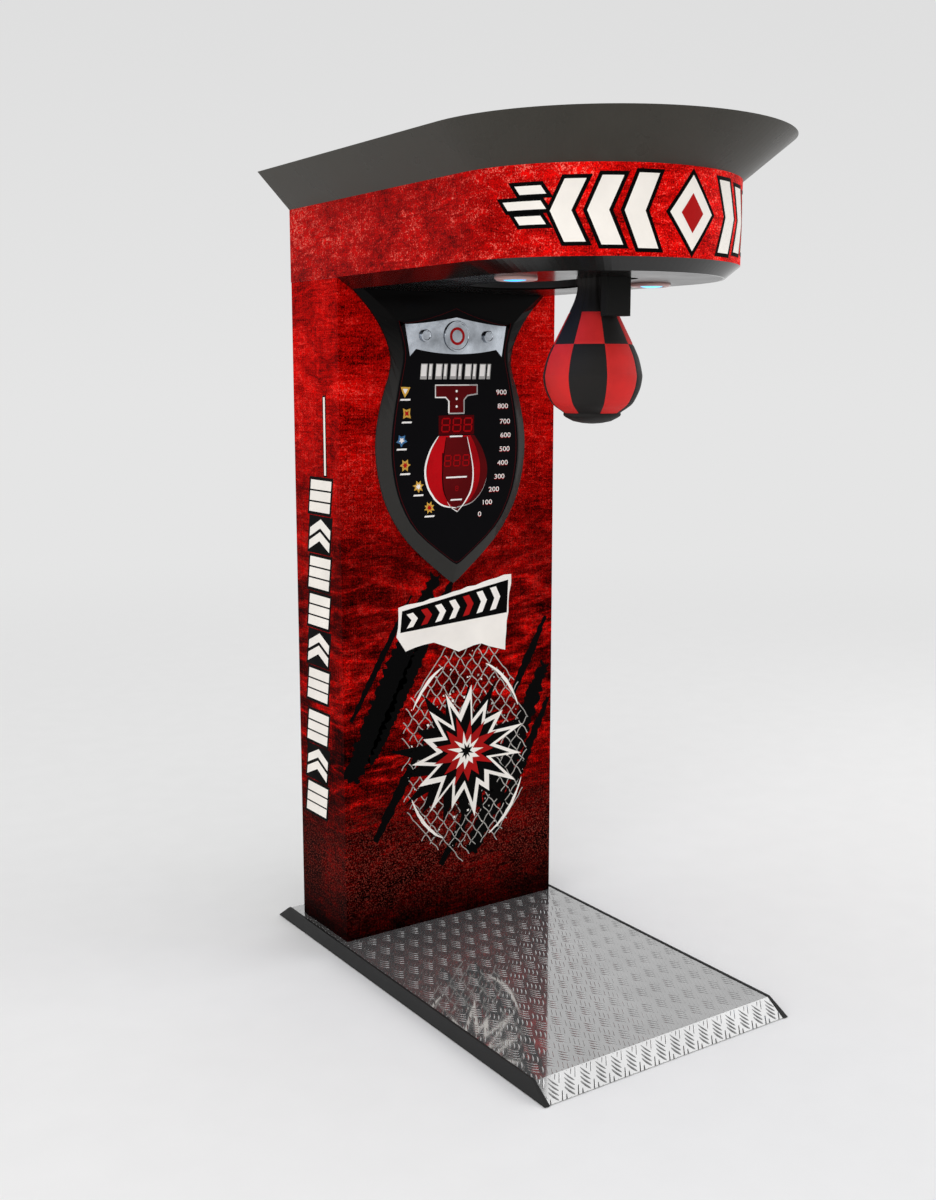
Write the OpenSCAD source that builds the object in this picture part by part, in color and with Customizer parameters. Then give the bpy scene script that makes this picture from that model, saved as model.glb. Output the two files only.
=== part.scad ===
// Boxing arcade machine: a striking bag on a swing arm under a cantilevered head, a printed column with a
// shield-shaped display, and a platform covered with tread plate. Millimetres, +Z up, front towards -Y.
// The origin is on the floor, at the centre of the platform.

/* [Platform] */
// Length of the platform on the floor, front to rear
base_len = 1264; // [1150:1:1400]
// Width of the platform on the floor
base_w = 740; // [720:1:820]
// Height of the tread plate's upper face
base_h = 36; // [32:1:60]
// Run of the front slope
front_run = 54; // [40:1:90]
// Run of the rear slope
rear_run = 48; // [40:1:60]
// Thickness of the tread plate
tread_t = 2; // [1.5:0.5:4]
// Thickness of a side plate at its foot
side_t = 14; // [12:0.5:20]
// How far a side plate leans in from foot to top
side_lean = 8; // [4:0.5:10]
// Height of the side plates above the tread plate
side_proud = 2; // [0:0.5:5]
// Clearance of plates and slopes above the floor
floor_gap = 2; // [1:0.5:4]
// Height of the floor pads
pad_h = 4; // [3:0.5:8]
// Radius of the floor pads
pad_r = 22; // [15:1:30]
// Distance between the front and rear rows of pads
pad_span = 1080; // [900:1:1120]
// Width of the bars of the platform frame
bar_w = 24; // [16:1:34]
// Number of crossbars in the platform frame
crossbar_count = 5; // [3:1:7]

/* [Transport wheels] */
// Radius of a transport wheel
wheel_r = 24; // [18:0.5:28]
// Width of a transport wheel
wheel_w = 22; // [14:1:30]
// Distance of each wheel from the middle of the machine
wheel_x = 250; // [180:1:290]
// Radius of the wheel axle
wheel_axle_r = 6; // [4:0.5:8]
// Clearance of the wheels above the floor
wheel_lift = 3; // [2:0.5:5]
// Distance of the wheel axle from the rear edge of the platform
wheel_set = 20; // [16:1:28]
// Thickness of the wheel brackets' ears
ear_t = 4; // [3:0.5:6]

/* [Column] */
// Width of the column
col_w = 680; // [640:1:700]
// Depth of the column, front to rear
col_d = 248; // [230:1:300]
// Distance from the column's rear face to the platform's rear edge
col_set = 101; // [90:1:140]
// Thickness of the boards
board_t = 15; // [12:0.5:20]
// Width of the square steel tubes
tube_w = 40; // [30:1:45]
// Wall of the square steel tubes
tube_wall = 3; // [2:0.5:4]
// Thickness of the column's floor plate
floor_t = 6; // [4:0.5:10]
// Radius of the cable hole behind the display
cable_hole_r = 30; // [20:1:40]

/* [Service door] */
// Distance from the column's side to the service door
door_margin = 72; // [68:1:100]
// Height of the service door
door_h = 946; // [800:1:1000]
// Height of the door's lower edge
door_z = 332; // [300:1:380]
// Clearance round the door
door_gap = 2; // [1.5:0.5:3]
// Number of ventilation slots in the door
slot_count = 9; // [4:1:12]
// Width of the ventilation slots
slot_w = 220; // [120:1:300]
// Height of each ventilation slot
slot_h = 7; // [5:0.5:9]
// Distance between the ventilation slots
slot_pitch = 16; // [12:0.5:20]
// Radius of a hinge knuckle
knuckle_r = 6; // [5:0.5:8]
// Radius of a hinge pin
hinge_pin_r = 3; // [2:0.5:3.5]
// Height of a hinge
hinge_h = 90; // [70:1:120]
// Width of a hinge leaf
leaf_w = 40; // [25:1:50]
// Thickness of a hinge leaf
leaf_t = 3; // [2:0.5:4]
// Radius of the lock barrel
lock_r = 9.5; // [8:0.5:11]
// Length of the lock cam
cam_len = 42; // [30:1:43]
// Distance of the lock from the door's free edge
lock_set = 28; // [24:1:40]

/* [Mains, sound and electronics] */
// Width of the mains inlet
inlet_w = 60; // [50:1:70]
// Height of the mains inlet
inlet_h = 84; // [76:1:95]
// Distance from the column's side to the middle of the mains inlet
inlet_set = 110; // [80:1:160]
// Height of the mains inlet above the floor
inlet_z = 180; // [130:1:220]
// Radius of the speaker
speaker_r = 60; // [45:1:80]
// Height of the speaker above the floor
speaker_z = 1500; // [1400:1:1600]
// Depth of the speaker
speaker_d = 46; // [30:1:70]
// Width of the power supply
psu_w = 110; // [80:1:130]
// Height of the power supply
psu_h = 215; // [150:1:260]
// Height of the control board
pcb_h = 220; // [150:1:260]
// Width of the control board
pcb_w = 120; // [90:1:130]

/* [Coin entry] */
// Height of the coin entry's middle above the floor
coin_z = 1060; // [980:1:1120]
// Width of the coin entry plate
coin_w = 130; // [115:1:140]
// Height of the coin entry plate
coin_h = 260; // [250:1:300]
// Thickness of the coin entry plate
coin_t = 3; // [2:0.5:5]
// Width of the coin slot
coin_slot_w = 3.5; // [3:0.1:5]
// Height of the coin slot
coin_slot_h = 30; // [26:1:34]
// Radius of the reject button
reject_r = 8; // [6:0.5:10]
// Width of the return cup's mouth
cup_w = 60; // [50:1:66]
// Height of the return cup's mouth
cup_h = 46; // [40:1:50]
// Depth of the return cup
cup_d = 48; // [40:1:60]
// Wall of the return cup
cup_wall = 3; // [2:0.5:4]
// Width of the cash box
cash_w = 154; // [120:1:170]
// Depth of the cash box
cash_d = 124; // [90:1:130]
// Height of the cash box
cash_h = 208; // [150:1:240]
// Width of the coin chute
chute_w = 40; // [30:1:46]
// Depth of the coin chute
chute_d = 36; // [28:1:44]

/* [Head] */
// Height of the head's underside
underside_z = 1750; // [1700:1:1800]
// Height of the chamfered skirt
skirt_h = 27; // [22:1:40]
// Height of the printed fascia
fascia_h = 184; // [174:1:220]
// Height of the flared crown
crown_h = 89; // [80:1:120]
// Distance from the column's front face to the centre of the head's half round front
head_reach = 560; // [540:1:600]
// How far the fascia stands proud of the column
fascia_proud = 1.5; // [0.5:0.5:3]
// Thickness of the fascia sheet
fascia_t = 3; // [2:0.5:4]
// Inward slope of the skirt at the sides
skirt_in = 42; // [30:1:50]
// Inward slope of the skirt at the front
skirt_front_in = 28; // [20:1:45]
// Flare of the crown at the sides
crown_flare = 88.5; // [60:0.5:100]
// Flare of the crown at the front
crown_flare_front = 125; // [90:1:150]
// Wall of the moulded crown and skirt
shell_t = 3; // [2:0.5:5]
// Depth of the top cover below the crown's rim
cover_drop = 14; // [8:1:24]
// Thickness of the top cover
cover_t = 6; // [4:0.5:8]
// Thickness of the head's base board
head_board_t = 12; // [10:0.5:16]
// Thickness of the underside panel
underside_t = 4; // [3:0.5:6]
// Width of the struts in the head
strut_w = 25; // [20:1:30]
// Height of the head beams
beam_h = 100; // [90:1:110]
// Width of the head beams
beam_w = 30; // [25:1:40]
// Distance of the head beams' inner faces from the middle
beam_x = 150; // [146:1:160]
// Distance from the head beams' front ends to the pivot
beam_nose = 190; // [182:1:220]
// Outer radius of the downlights
light_r = 45; // [42:0.5:50]
// Distance of the downlights from the middle
light_x = 200; // [192:1:215]
// Distance from the downlights back to the column
light_reach = 555; // [480:1:600]
// Height of a downlight's rim below the underside
light_rim = 4; // [2:0.5:8]
// Depth of a downlight's domed lens below its rim
light_dome = 4.5; // [2:0.5:7]

/* [Bag and its bay] */
// Distance from the column's front face to the pivot
pivot_reach = 640; // [620:1:660]
// Height of the pivot above the head's underside
pivot_rise = 98; // [94:1:104]
// Angle from the hanging bag to the latched bag
swing_angle = 85; // [80:0.5:86]
// Radius of the bag
bag_r = 114; // [100:1:116]
// Length of the bag with its bottom cap
bag_len = 346; // [320:1:350]
// Distance of the bag's axis behind the pivot
bag_set = 55; // [54:0.5:60]
// Height of the bag's top above the head's underside
bag_rise = 24; // [20:0.5:28]
// Radius of the stud that carries the bag
stud_r = 8; // [6:0.5:12]
// Radius of the rear part of the bay
bay_r = 137; // [133:1:142]
// Distance from the pivot to the centre of the bay's rear part
bay_back = 320; // [314:1:326]
// Half width of the bay's neck
neck_half = 57; // [54:0.5:60]
// Distance from the pivot back to the end of the neck's straight sides
neck_back = 120; // [110:1:130]
// Distance from the pivot forward to the end of the bay
bay_front = 55; // [50:1:60]
// Corner radius of the bay's front end
bay_corner = 38; // [30:1:42]
// Wall of the bay's liner
liner_t = 2; // [1.5:0.5:3]
// Height of the bay
bay_h = 246; // [245:1:252]
// Thickness of the foam bumper under the bay's lid
bumper_t = 6.3; // [4:0.1:6.4]

/* [Swing arm and latch] */
// Width of the arm
arm_w = 70; // [50:1:80]
// Thickness of the arm
arm_t = 27; // [24:1:34]
// Distance from the pivot line forward to the arm's rear face
arm_set = 9; // [8:0.5:12]
// Length of the arm below the head's underside
arm_drop = 82; // [60:1:90]
// Radius of the arm's hub
hub_r = 22; // [18:0.5:24]
// Radius of the pivot shaft
shaft_r = 12.5; // [10:0.5:14]
// Radial running clearance of the shaft and axles
run_gap = 0.05; // [0.02:0.01:0.09]
// Clearance between pieces that move past each other
gap = 0.3; // [0.3:0.1:0.6]
// Radius of the front stop
stop_r = 12; // [9:0.5:14]
// Radius of the speed disc
disc_r = 38; // [32:0.5:39]
// Number of slots in the speed disc
disc_slots = 12; // [8:1:16]
// Length of the latch crank, from the shaft to the striker pin
crank_len = 55; // [50:1:58]
// Radius of the striker pin
striker_r = 7; // [5:0.5:8]
// Height of the pawl's pivot above the shaft
pawl_rise = 95; // [92:1:100]
// Distance of the pawl's pivot in front of the shaft
pawl_front = 82; // [80:1:90]
// Width of the pawl
pawl_w = 16; // [12:1:18]
// Length of the solenoid
solenoid_len = 50; // [40:1:56]
// Height of the solenoid
solenoid_h = 30; // [24:1:32]
// Radius of the solenoid's plunger
plunger_r = 6; // [4:0.5:8]

/* [Display] */
// Height of the display housing, from its tip to the head's underside
shield_h = 767; // [720:1:800]
// Depth of the display housing
shield_d = 22; // [18:1:30]
// Height of the housing's vertical edge
shield_edge = 5; // [3:0.5:8]
// Thickness of the display panel
panel_t = 3; // [2:0.5:5]
// Width of the rim between the panel and the bevel
panel_rim = 4; // [3:0.5:8]
// Height of the peak in the panel's upper edge
peak_h = 42; // [20:1:60]
// Distance from the head's underside to the panel's upper corners
panel_drop = 76; // [70:1:90]
// Width of a large digit display
digits_w = 112; // [90:1:124]
// Height of the large digit display
digits_h = 50; // [40:1:60]
// Width of the bag-shaped lamp lens
lamp_w = 190; // [160:1:200]
// Height of the bag-shaped lamp lens
lamp_h = 190; // [170:1:200]

/* [Hidden] */
$fn = 96;
// Overlap of cutting bodies past the faces that they cut
cut = 1;

// Heights
frame_top = base_h - tread_t;
side_top = base_h + side_proud;
fascia_z = underside_z + skirt_h;
fascia_top = fascia_z + fascia_h;
crown_top = fascia_top + crown_h;
frame_head_z = fascia_z + head_board_t;
post_top = frame_head_z - tube_w;
plate_top = base_h + floor_t;
pivot_z = underside_z + pivot_rise;

// Depths
floor_front = -base_len / 2;
floor_rear = base_len / 2;
top_front = floor_front + front_run;
top_rear = floor_rear - rear_run;
col_rear = floor_rear - col_set;
col_front = col_rear - col_d;
rear_inner = col_rear - board_t;
front_inner = col_front + board_t;
head_y = col_front - head_reach;
pivot_y = col_front - pivot_reach;
bag_y = pivot_y + bag_set;
light_y = col_front - light_reach;
beam_front = pivot_y - beam_nose;

// Widths
side_inner = base_w / 2 - side_t;
col_half = col_w / 2;
inner_half = col_half - board_t;
post_in = inner_half - tube_w;
fascia_r = col_half + fascia_proud;
fascia_in = fascia_r - fascia_t;

// A block between two opposite corners
module span(low, high) {
    translate(low) cube([high.x - low.x, high.y - low.y, high.z - low.z]);
}

// The children and their mirror image on the other side of the machine
module both_sides() {
    children();
    mirror([1, 0, 0]) children();
}

// A cylinder along X from x0 to x1
module rod_x(r, x0, x1) {
    translate([x0, 0, 0]) rotate([0, 90, 0]) cylinder(r = r, h = x1 - x0);
}

// A cylinder along Y from y0 to y1
module rod_y(r, y0, y1) {
    translate([0, y0, 0]) rotate([-90, 0, 0]) cylinder(r = r, h = y1 - y0);
}

// A profile in the YZ plane, extruded along X from x0 to x1
module prism_x(profile, x0, x1) {
    translate([x0, 0, 0]) rotate([90, 0, 90]) linear_extrude(x1 - x0) polygon(profile);
}

// A profile in the XZ plane, extruded along Y from y0 to y1
module prism_y(profile, y0, y1) {
    translate([0, y1, 0]) rotate([90, 0, 0]) linear_extrude(y1 - y0) polygon(profile);
}

// Points of an arc round c with radii rx and ry
function arc(c, rx, ry, a0, a1, n) =
    [for (i = [0:n]) let (a = a0 + (a1 - a0) * i / n) [c.x + rx * cos(a), c.y + ry * sin(a)]];

// One span of a smooth line, and the smooth line through a list of points
function bend(p0, p1, p2, p3, t) =
    0.5 * (2 * p1 + (p2 - p0) * t + (2 * p0 - 5 * p1 + 4 * p2 - p3) * t * t
    + (3 * p1 - 3 * p2 + p3 - p0) * t * t * t);
function smooth(p, n) = concat(
    [for (i = [0:len(p) - 2]) for (k = [0:n - 1])
        bend(p[max(i - 1, 0)], p[i], p[i + 1], p[min(i + 2, len(p) - 1)], k / n)],
    [p[len(p) - 1]]);

// Plan outline of the head: straight sides from the rear, then an elliptic front
function head_plan(half, rear, centre, reach) =
    concat([[half, rear]], arc([0, centre], half, reach, 0, -180, 64), [[-half, rear]]);

// A plan outline raised to a height
function raised(plan, z) = [for (p = plan) [p.x, p.y, z]];

// A shell whose section is the closed chain of rings
module ring_shell(rings) {
    n = len(rings[0]);
    k = len(rings);
    faces = [for (r = [0:k - 1]) for (i = [0:n - 1])
        let (a = r * n, b = ((r + 1) % k) * n, j = (i + 1) % n)
        each [[a + i, b + i, b + j], [a + i, b + j, a + j]]];
    polyhedron([for (r = rings) each r], faces);
}

// Platform

front_angle = atan(base_h / front_run);
rear_angle = atan(base_h / rear_run);

// Inner line of the tread plate's slopes at a height
function slope_front(z) = floor_front + tread_t / sin(front_angle) + z / tan(front_angle);
function slope_rear(z) = floor_rear - tread_t / sin(rear_angle) - z / tan(rear_angle);

rear_bar_y = top_rear - bar_w;
front_bar_y = slope_front(frame_top);
bar_pitch = (rear_bar_y - bar_w - front_bar_y) / (crossbar_count - 1);

module base_frame() {
    rail = [[slope_front(pad_h), pad_h], [slope_front(frame_top), frame_top],
            [slope_rear(frame_top), frame_top], [slope_rear(pad_h), pad_h]];
    color("#3a3a3c") {
        both_sides() prism_x(rail, side_inner - bar_w, side_inner);
        prism_x(rail, -bar_w / 2, bar_w / 2);
        for (i = [0:crossbar_count - 1]) {
            y = front_bar_y + i * bar_pitch;
            both_sides() span([bar_w / 2, y, pad_h], [side_inner - bar_w, y + bar_w, frame_top]);
        }
    }
}

module floor_pads() {
    color("#1c1c1c")
        for (y = [-pad_span / 2, 0, pad_span / 2], x = [-1, 0, 1])
            translate([x * (side_inner - pad_r), y, 0]) cylinder(r = pad_r, h = pad_h);
}

notch_half = wheel_w / 2 + ear_t + 3;

module tread_plate() {
    corner_front = tread_t * tan(front_angle / 2);
    corner_rear = tread_t * tan(rear_angle / 2);
    profile = [
        [floor_front + floor_gap / tan(front_angle), floor_gap], [top_front, base_h], [top_rear, base_h],
        [floor_rear - floor_gap / tan(rear_angle), floor_gap], [slope_rear(floor_gap), floor_gap],
        [top_rear - corner_rear, frame_top], [top_front + corner_front, frame_top],
        [slope_front(floor_gap), floor_gap]];
    color("#b9bcbf") difference() {
        prism_x(profile, -side_inner, side_inner);
        both_sides()
            span([wheel_x - notch_half, top_rear, -cut], [wheel_x + notch_half, floor_rear + cut, base_h + cut]);
    }
}

module side_plate() {
    z0 = floor_gap;
    section = [[side_inner, z0], [base_w / 2, z0], [base_w / 2 - side_lean, side_top], [side_inner, side_top]];
    edge = [[floor_front, z0], [top_front, side_top], [top_rear, side_top], [floor_rear, z0]];
    color("#2b2b2b") intersection() {
        prism_y(section, floor_front, floor_rear);
        prism_x(edge, side_inner, base_w / 2);
    }
}

module side_plate_right() side_plate();

module side_plate_left() mirror([1, 0, 0]) side_plate();

wheel_y = floor_rear - wheel_set;
wheel_z = wheel_r + wheel_lift;
ear_in = wheel_w / 2 + 1;
ear_r = wheel_axle_r + 8;

module wheel_bracket() {
    ear = [[rear_bar_y, pad_h + 2], [rear_bar_y, frame_top], [top_rear, frame_top],
           [wheel_y - 0.57 * ear_r, wheel_z + 0.79 * ear_r], [wheel_y + 0.57 * ear_r, wheel_z + 0.79 * ear_r],
           [wheel_y + ear_r, wheel_z + 0.36 * ear_r], [wheel_y + ear_r, wheel_z - 0.57 * ear_r],
           [wheel_y, wheel_z - ear_r]];
    prism_x(ear, wheel_x - ear_in - ear_t, wheel_x - ear_in);
    prism_x(ear, wheel_x + ear_in, wheel_x + ear_in + ear_t);
    span([wheel_x - ear_in, rear_bar_y, pad_h + 2], [wheel_x + ear_in, rear_bar_y + ear_t, frame_top]);
    translate([0, wheel_y, wheel_z]) rod_x(wheel_axle_r, wheel_x - ear_in, wheel_x + ear_in);
}

module wheel_brackets() {
    color("#6d7074") both_sides() wheel_bracket();
}

module wheel(x) {
    color("#232323") translate([x, wheel_y, wheel_z]) rotate([0, 90, 0]) difference() {
        rotate_extrude() polygon([
            [wheel_axle_r + run_gap, -wheel_w / 2], [wheel_r - 3, -wheel_w / 2], [wheel_r, 3 - wheel_w / 2],
            [wheel_r, wheel_w / 2 - 3], [wheel_r - 3, wheel_w / 2], [wheel_axle_r + run_gap, wheel_w / 2]]);
        for (side = [-1, 1]) translate([0, 0, side * wheel_w / 2]) difference() {
            cylinder(r = wheel_r - 6, h = 6, center = true);
            cylinder(r = wheel_axle_r + 4, h = 8, center = true);
        }
    }
}

module wheel_left() wheel(-wheel_x);

module wheel_right() wheel(wheel_x);

// Column

module column_floor() {
    color("#4a4c4f") span([-inner_half, front_inner, base_h], [inner_half, rear_inner, plate_top]);
}

// Upright tube between two heights, standing inside the corner (x, y)
module post(x, y) {
    difference() {
        span([x, y, plate_top], [x + tube_w, y + tube_w, post_top]);
        span([x + tube_wall, y + tube_wall, plate_top - cut],
             [x + tube_w - tube_wall, y + tube_w - tube_wall, post_top + cut]);
    }
}

module crossbar(y) {
    difference() {
        span([-inner_half, y, post_top], [inner_half, y + tube_w, frame_head_z]);
        span([-inner_half - cut, y + tube_wall, post_top + tube_wall],
             [inner_half + cut, y + tube_w - tube_wall, frame_head_z - tube_wall]);
    }
}

module column_frame() {
    color("#4a4c4f") for (y = [front_inner, rear_inner - tube_w]) {
        for (x = [-inner_half, post_in]) post(x, y);
        crossbar(y);
    }
}

module column_front() {
    color("#a51516") difference() {
        span([-col_half, col_front, base_h], [col_half, front_inner, fascia_z]);
        translate([0, 0, digits_z]) rod_y(cable_hole_r, col_front - cut, front_inner + cut);
    }
}

module column_side_left() {
    color("#a51516") span([-col_half, front_inner, base_h], [-inner_half, col_rear, fascia_z]);
}

coin_y = (front_inner + col_rear) / 2 - 8;
coin_top = coin_z + coin_h / 2;
coin_foot = coin_z - coin_h / 2;
// The plate's overlap on the board round the opening behind it
coin_lap = 14;
coin_cut_half = coin_w / 2 - coin_lap;

module column_side_right() {
    color("#a51516") difference() {
        span([inner_half, front_inner, base_h], [col_half, col_rear, fascia_z]);
        span([inner_half - cut, coin_y - coin_cut_half, coin_foot + coin_lap],
             [col_half + cut, coin_y + coin_cut_half, coin_top - coin_lap]);
    }
}

door_half = col_half - door_margin;
door_top = door_z + door_h;

module rear_panel() {
    color("#2e2e30") difference() {
        union() {
            span([-inner_half, rear_inner, base_h], [inner_half, col_rear, fascia_z]);
            span([-fascia_in, rear_inner, fascia_z], [fascia_in, col_rear, fascia_top]);
        }
        span([-door_half - door_gap, rear_inner - cut, door_z - door_gap],
             [door_half + door_gap, col_rear + cut, door_top + door_gap]);
        span([inlet_x - inlet_w / 2 + 6, rear_inner - cut, inlet_z - inlet_h / 2 + 8],
             [inlet_x + inlet_w / 2 - 6, col_rear + cut, inlet_z + inlet_h / 2 - 8]);
        for (i = [-3:3]) {
            half = sqrt(pow(speaker_r - 14, 2) - pow(i * slot_h * 1.8, 2));
            z = speaker_z + i * slot_h * 1.8;
            span([-half, rear_inner - cut, z - slot_h / 2], [half, col_rear + cut, z + slot_h / 2]);
        }
    }
}

hinge_x = -door_half - door_gap / 2;
hinge_y = col_rear + knuckle_r;
hinge_zs = [door_z + 80, door_top - 80 - hinge_h];
knuckle_h = hinge_h / 3;

// The hinge halves: the outer knuckles stay with the rear panel, the middle one turns with the door
module hinge_web(z0, z1, x0, x1) {
    span([x0, col_rear, z0], [x1, col_rear + leaf_t, z1]);
}

module service_door() {
    lock_x = door_half - lock_set;
    vent_z = door_top - 130;
    color("#343437") difference() {
        union() {
            span([-door_half, rear_inner, door_z], [door_half, col_rear, door_top]);
            for (z = hinge_zs) {
                z0 = z + knuckle_h + gap;
                z1 = z + 2 * knuckle_h - gap;
                translate([hinge_x, hinge_y, z0]) cylinder(r = knuckle_r, h = z1 - z0);
                hinge_web(z0, z1, hinge_x, hinge_x + knuckle_r + 2);
                hinge_web(z, z + hinge_h, hinge_x + knuckle_r + 1, hinge_x + leaf_w);
            }
        }
        for (z = hinge_zs)
            translate([hinge_x, hinge_y, z - cut]) cylinder(r = hinge_pin_r + run_gap, h = hinge_h + 2 * cut);
        translate([lock_x, 0, lock_z]) rod_y(lock_r + 0.1, rear_inner - cut, col_rear + cut);
        for (i = [0:slot_count - 1])
            span([-slot_w / 2, rear_inner - cut, vent_z - i * slot_pitch],
                 [slot_w / 2, col_rear + cut, vent_z - i * slot_pitch + slot_h]);
    }
}

module door_hinges() {
    color("#8d9093") for (z = hinge_zs) {
        translate([hinge_x, hinge_y, z]) cylinder(r = hinge_pin_r, h = hinge_h);
        for (k = [0, 2]) {
            z0 = z + k * knuckle_h;
            translate([hinge_x, hinge_y, z0]) cylinder(r = knuckle_r, h = knuckle_h);
            hinge_web(z0, z0 + knuckle_h, hinge_x - knuckle_r - 2, hinge_x);
        }
        hinge_web(z, z + hinge_h, hinge_x - leaf_w, hinge_x - knuckle_r - 1);
    }
}

lock_z = door_z + door_h / 2;
plug_r = lock_r - 4;
cam_t = 5;
cam_y = rear_inner - 8;

module door_lock_barrel() {
    color("#a9acb0") translate([door_half - lock_set, 0, lock_z]) difference() {
        union() {
            rod_y(lock_r, rear_inner - 3, col_rear);
            rod_y(lock_r + 4, col_rear, col_rear + 3);
        }
        rod_y(plug_r + run_gap, rear_inner - 3 - cut, col_rear + 3 + cut);
    }
}

module door_lock_plug() {
    color("#c2c5c9") translate([door_half - lock_set, 0, lock_z]) {
        difference() {
            rod_y(plug_r, cam_y, col_rear + 4);
            span([-0.6, col_rear - 4, -plug_r + 1], [0.6, col_rear + 4 + cut, plug_r - 1]);
        }
        rod_y(lock_r - 1, cam_y - cam_t, cam_y);
        span([-6, cam_y - cam_t, -cam_len], [6, cam_y, 0]);
    }
}

rocker_w = 26;
rocker_h = 15;
rocker_z = inlet_z + inlet_h / 4 + 1;
rocker_tilt = 6;
rocker_pin_r = 1.5;
rocker_y = col_rear - 2;
socket_w = 28;
socket_h = 21;
socket_d = 17;
socket_z = inlet_z - inlet_h / 4 + 2;
inlet_flange = 3;
inlet_x = col_half - inlet_set;

module mains_inlet() {
    face = col_rear + inlet_flange;
    color("#202022") difference() {
        union() {
            span([inlet_x - inlet_w / 2, col_rear, inlet_z - inlet_h / 2],
                 [inlet_x + inlet_w / 2, face, inlet_z + inlet_h / 2]);
            span([inlet_x - inlet_w / 2 + 6.5, col_rear - 34, inlet_z - inlet_h / 2 + 8.5],
                 [inlet_x + inlet_w / 2 - 6.5, col_rear, inlet_z + inlet_h / 2 - 8.5]);
        }
        span([inlet_x - socket_w / 2, face - socket_d, socket_z - socket_h / 2],
             [inlet_x + socket_w / 2, face + cut, socket_z + socket_h / 2]);
        span([inlet_x - rocker_w / 2 - gap, face - 14, rocker_z - rocker_h / 2 - 1.5],
             [inlet_x + rocker_w / 2 + gap, face + cut, rocker_z + rocker_h / 2 + 1.5]);
        translate([inlet_x, rocker_y, rocker_z])
            rod_x(rocker_pin_r + run_gap, -rocker_w / 2 - 3 - gap, rocker_w / 2 + 3 + gap);
    }
}

module rocker_switch() {
    h = rocker_h / 2;
    front = inlet_flange + 2;
    key = [[-6, -3], [-6, 3], [0, h - 0.5], [front + 2, h - 0.5], [front + 0.5, 0], [front + 2, 0.5 - h],
           [0, 0.5 - h]];
    color("#101010") translate([inlet_x, rocker_y, rocker_z]) rotate([-rocker_tilt, 0, 0]) {
        prism_x(key, -rocker_w / 2, rocker_w / 2);
        rod_x(rocker_pin_r, -rocker_w / 2 - 3, rocker_w / 2 + 3);
    }
}

module power_supply() {
    x0 = -post_in + 20;
    y0 = front_inner + tube_w + 10;
    color("#9da0a4") difference() {
        span([x0, y0, plate_top], [x0 + psu_w, y0 + 60, plate_top + psu_h]);
        for (i = [0:6])
            span([x0 + 15, y0 + 52, plate_top + 30 + i * 22],
                 [x0 + psu_w - 15, y0 + 60 + cut, plate_top + 36 + i * 22]);
    }
}

pcb_z = 950;

module control_board() {
    y0 = front_inner + tube_w + 5;
    x0 = -inner_half;
    t = 2;
    post_h = 10;
    color("#1f5a34") {
        span([x0 + post_h, y0, pcb_z], [x0 + post_h + t, y0 + pcb_w, pcb_z + pcb_h]);
        for (y = [y0 + 8, y0 + pcb_w - 8], z = [pcb_z + 8, pcb_z + pcb_h - 8])
            translate([0, y, z]) rod_x(4, x0, x0 + post_h);
        span([x0 + post_h + t, y0 + 30, pcb_z + 90], [x0 + post_h + t + 6, y0 + 70, pcb_z + 130]);
        for (i = [0:4])
            span([x0 + post_h + t, y0 + 12 + i * 20, pcb_z + 10],
                 [x0 + post_h + t + 12, y0 + 26 + i * 20, pcb_z + 24]);
    }
}

module speaker() {
    color("#2a2a2a") translate([0, rear_inner, speaker_z]) rotate([90, 0, 0]) difference() {
        rotate_extrude() polygon([
            [0, speaker_d * 0.5], [0, speaker_d], [speaker_r * 0.5, speaker_d], [speaker_r * 0.5, speaker_d * 0.6],
            [speaker_r - 8, 4], [speaker_r, 4], [speaker_r, 0], [speaker_r - 10, 0],
            [speaker_r * 0.35, speaker_d * 0.5]]);
        for (a = [45:90:315])
            rotate([0, 0, a]) translate([speaker_r - 4, 0, -cut]) cylinder(r = 2, h = 6 + cut);
    }
}

cash_x1 = post_in + 24;
cash_x0 = cash_x1 - cash_w;
cash_y0 = coin_y - cash_d / 2;
cash_y1 = coin_y + cash_d / 2;

module cash_box() {
    wall = 2;
    color("#7c7f83") difference() {
        span([cash_x0, cash_y0, plate_top], [cash_x1, cash_y1, plate_top + cash_h]);
        span([cash_x0 + wall, cash_y0 + wall, plate_top + wall],
             [cash_x1 - wall, cash_y1 - wall, plate_top + cash_h + cut]);
    }
}

// Coin entry on the right side of the column

plate_x = col_half;
slot_y = coin_y - 18;
slot_z = coin_top - 60;
reject_y = coin_y + 28;
cup_z0 = coin_foot + 34;
cup_z1 = cup_z0 + cup_h;
sleeve_len = 12;
flap_t = 2.5;
flap_r = 2.5;
flap_pin_r = 1.5;
flap_pin_half = cup_w / 2 + cup_wall / 2;
flap_x = plate_x - flap_r - 0.5;
flap_z = cup_z1 - flap_r - 0.5;

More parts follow.
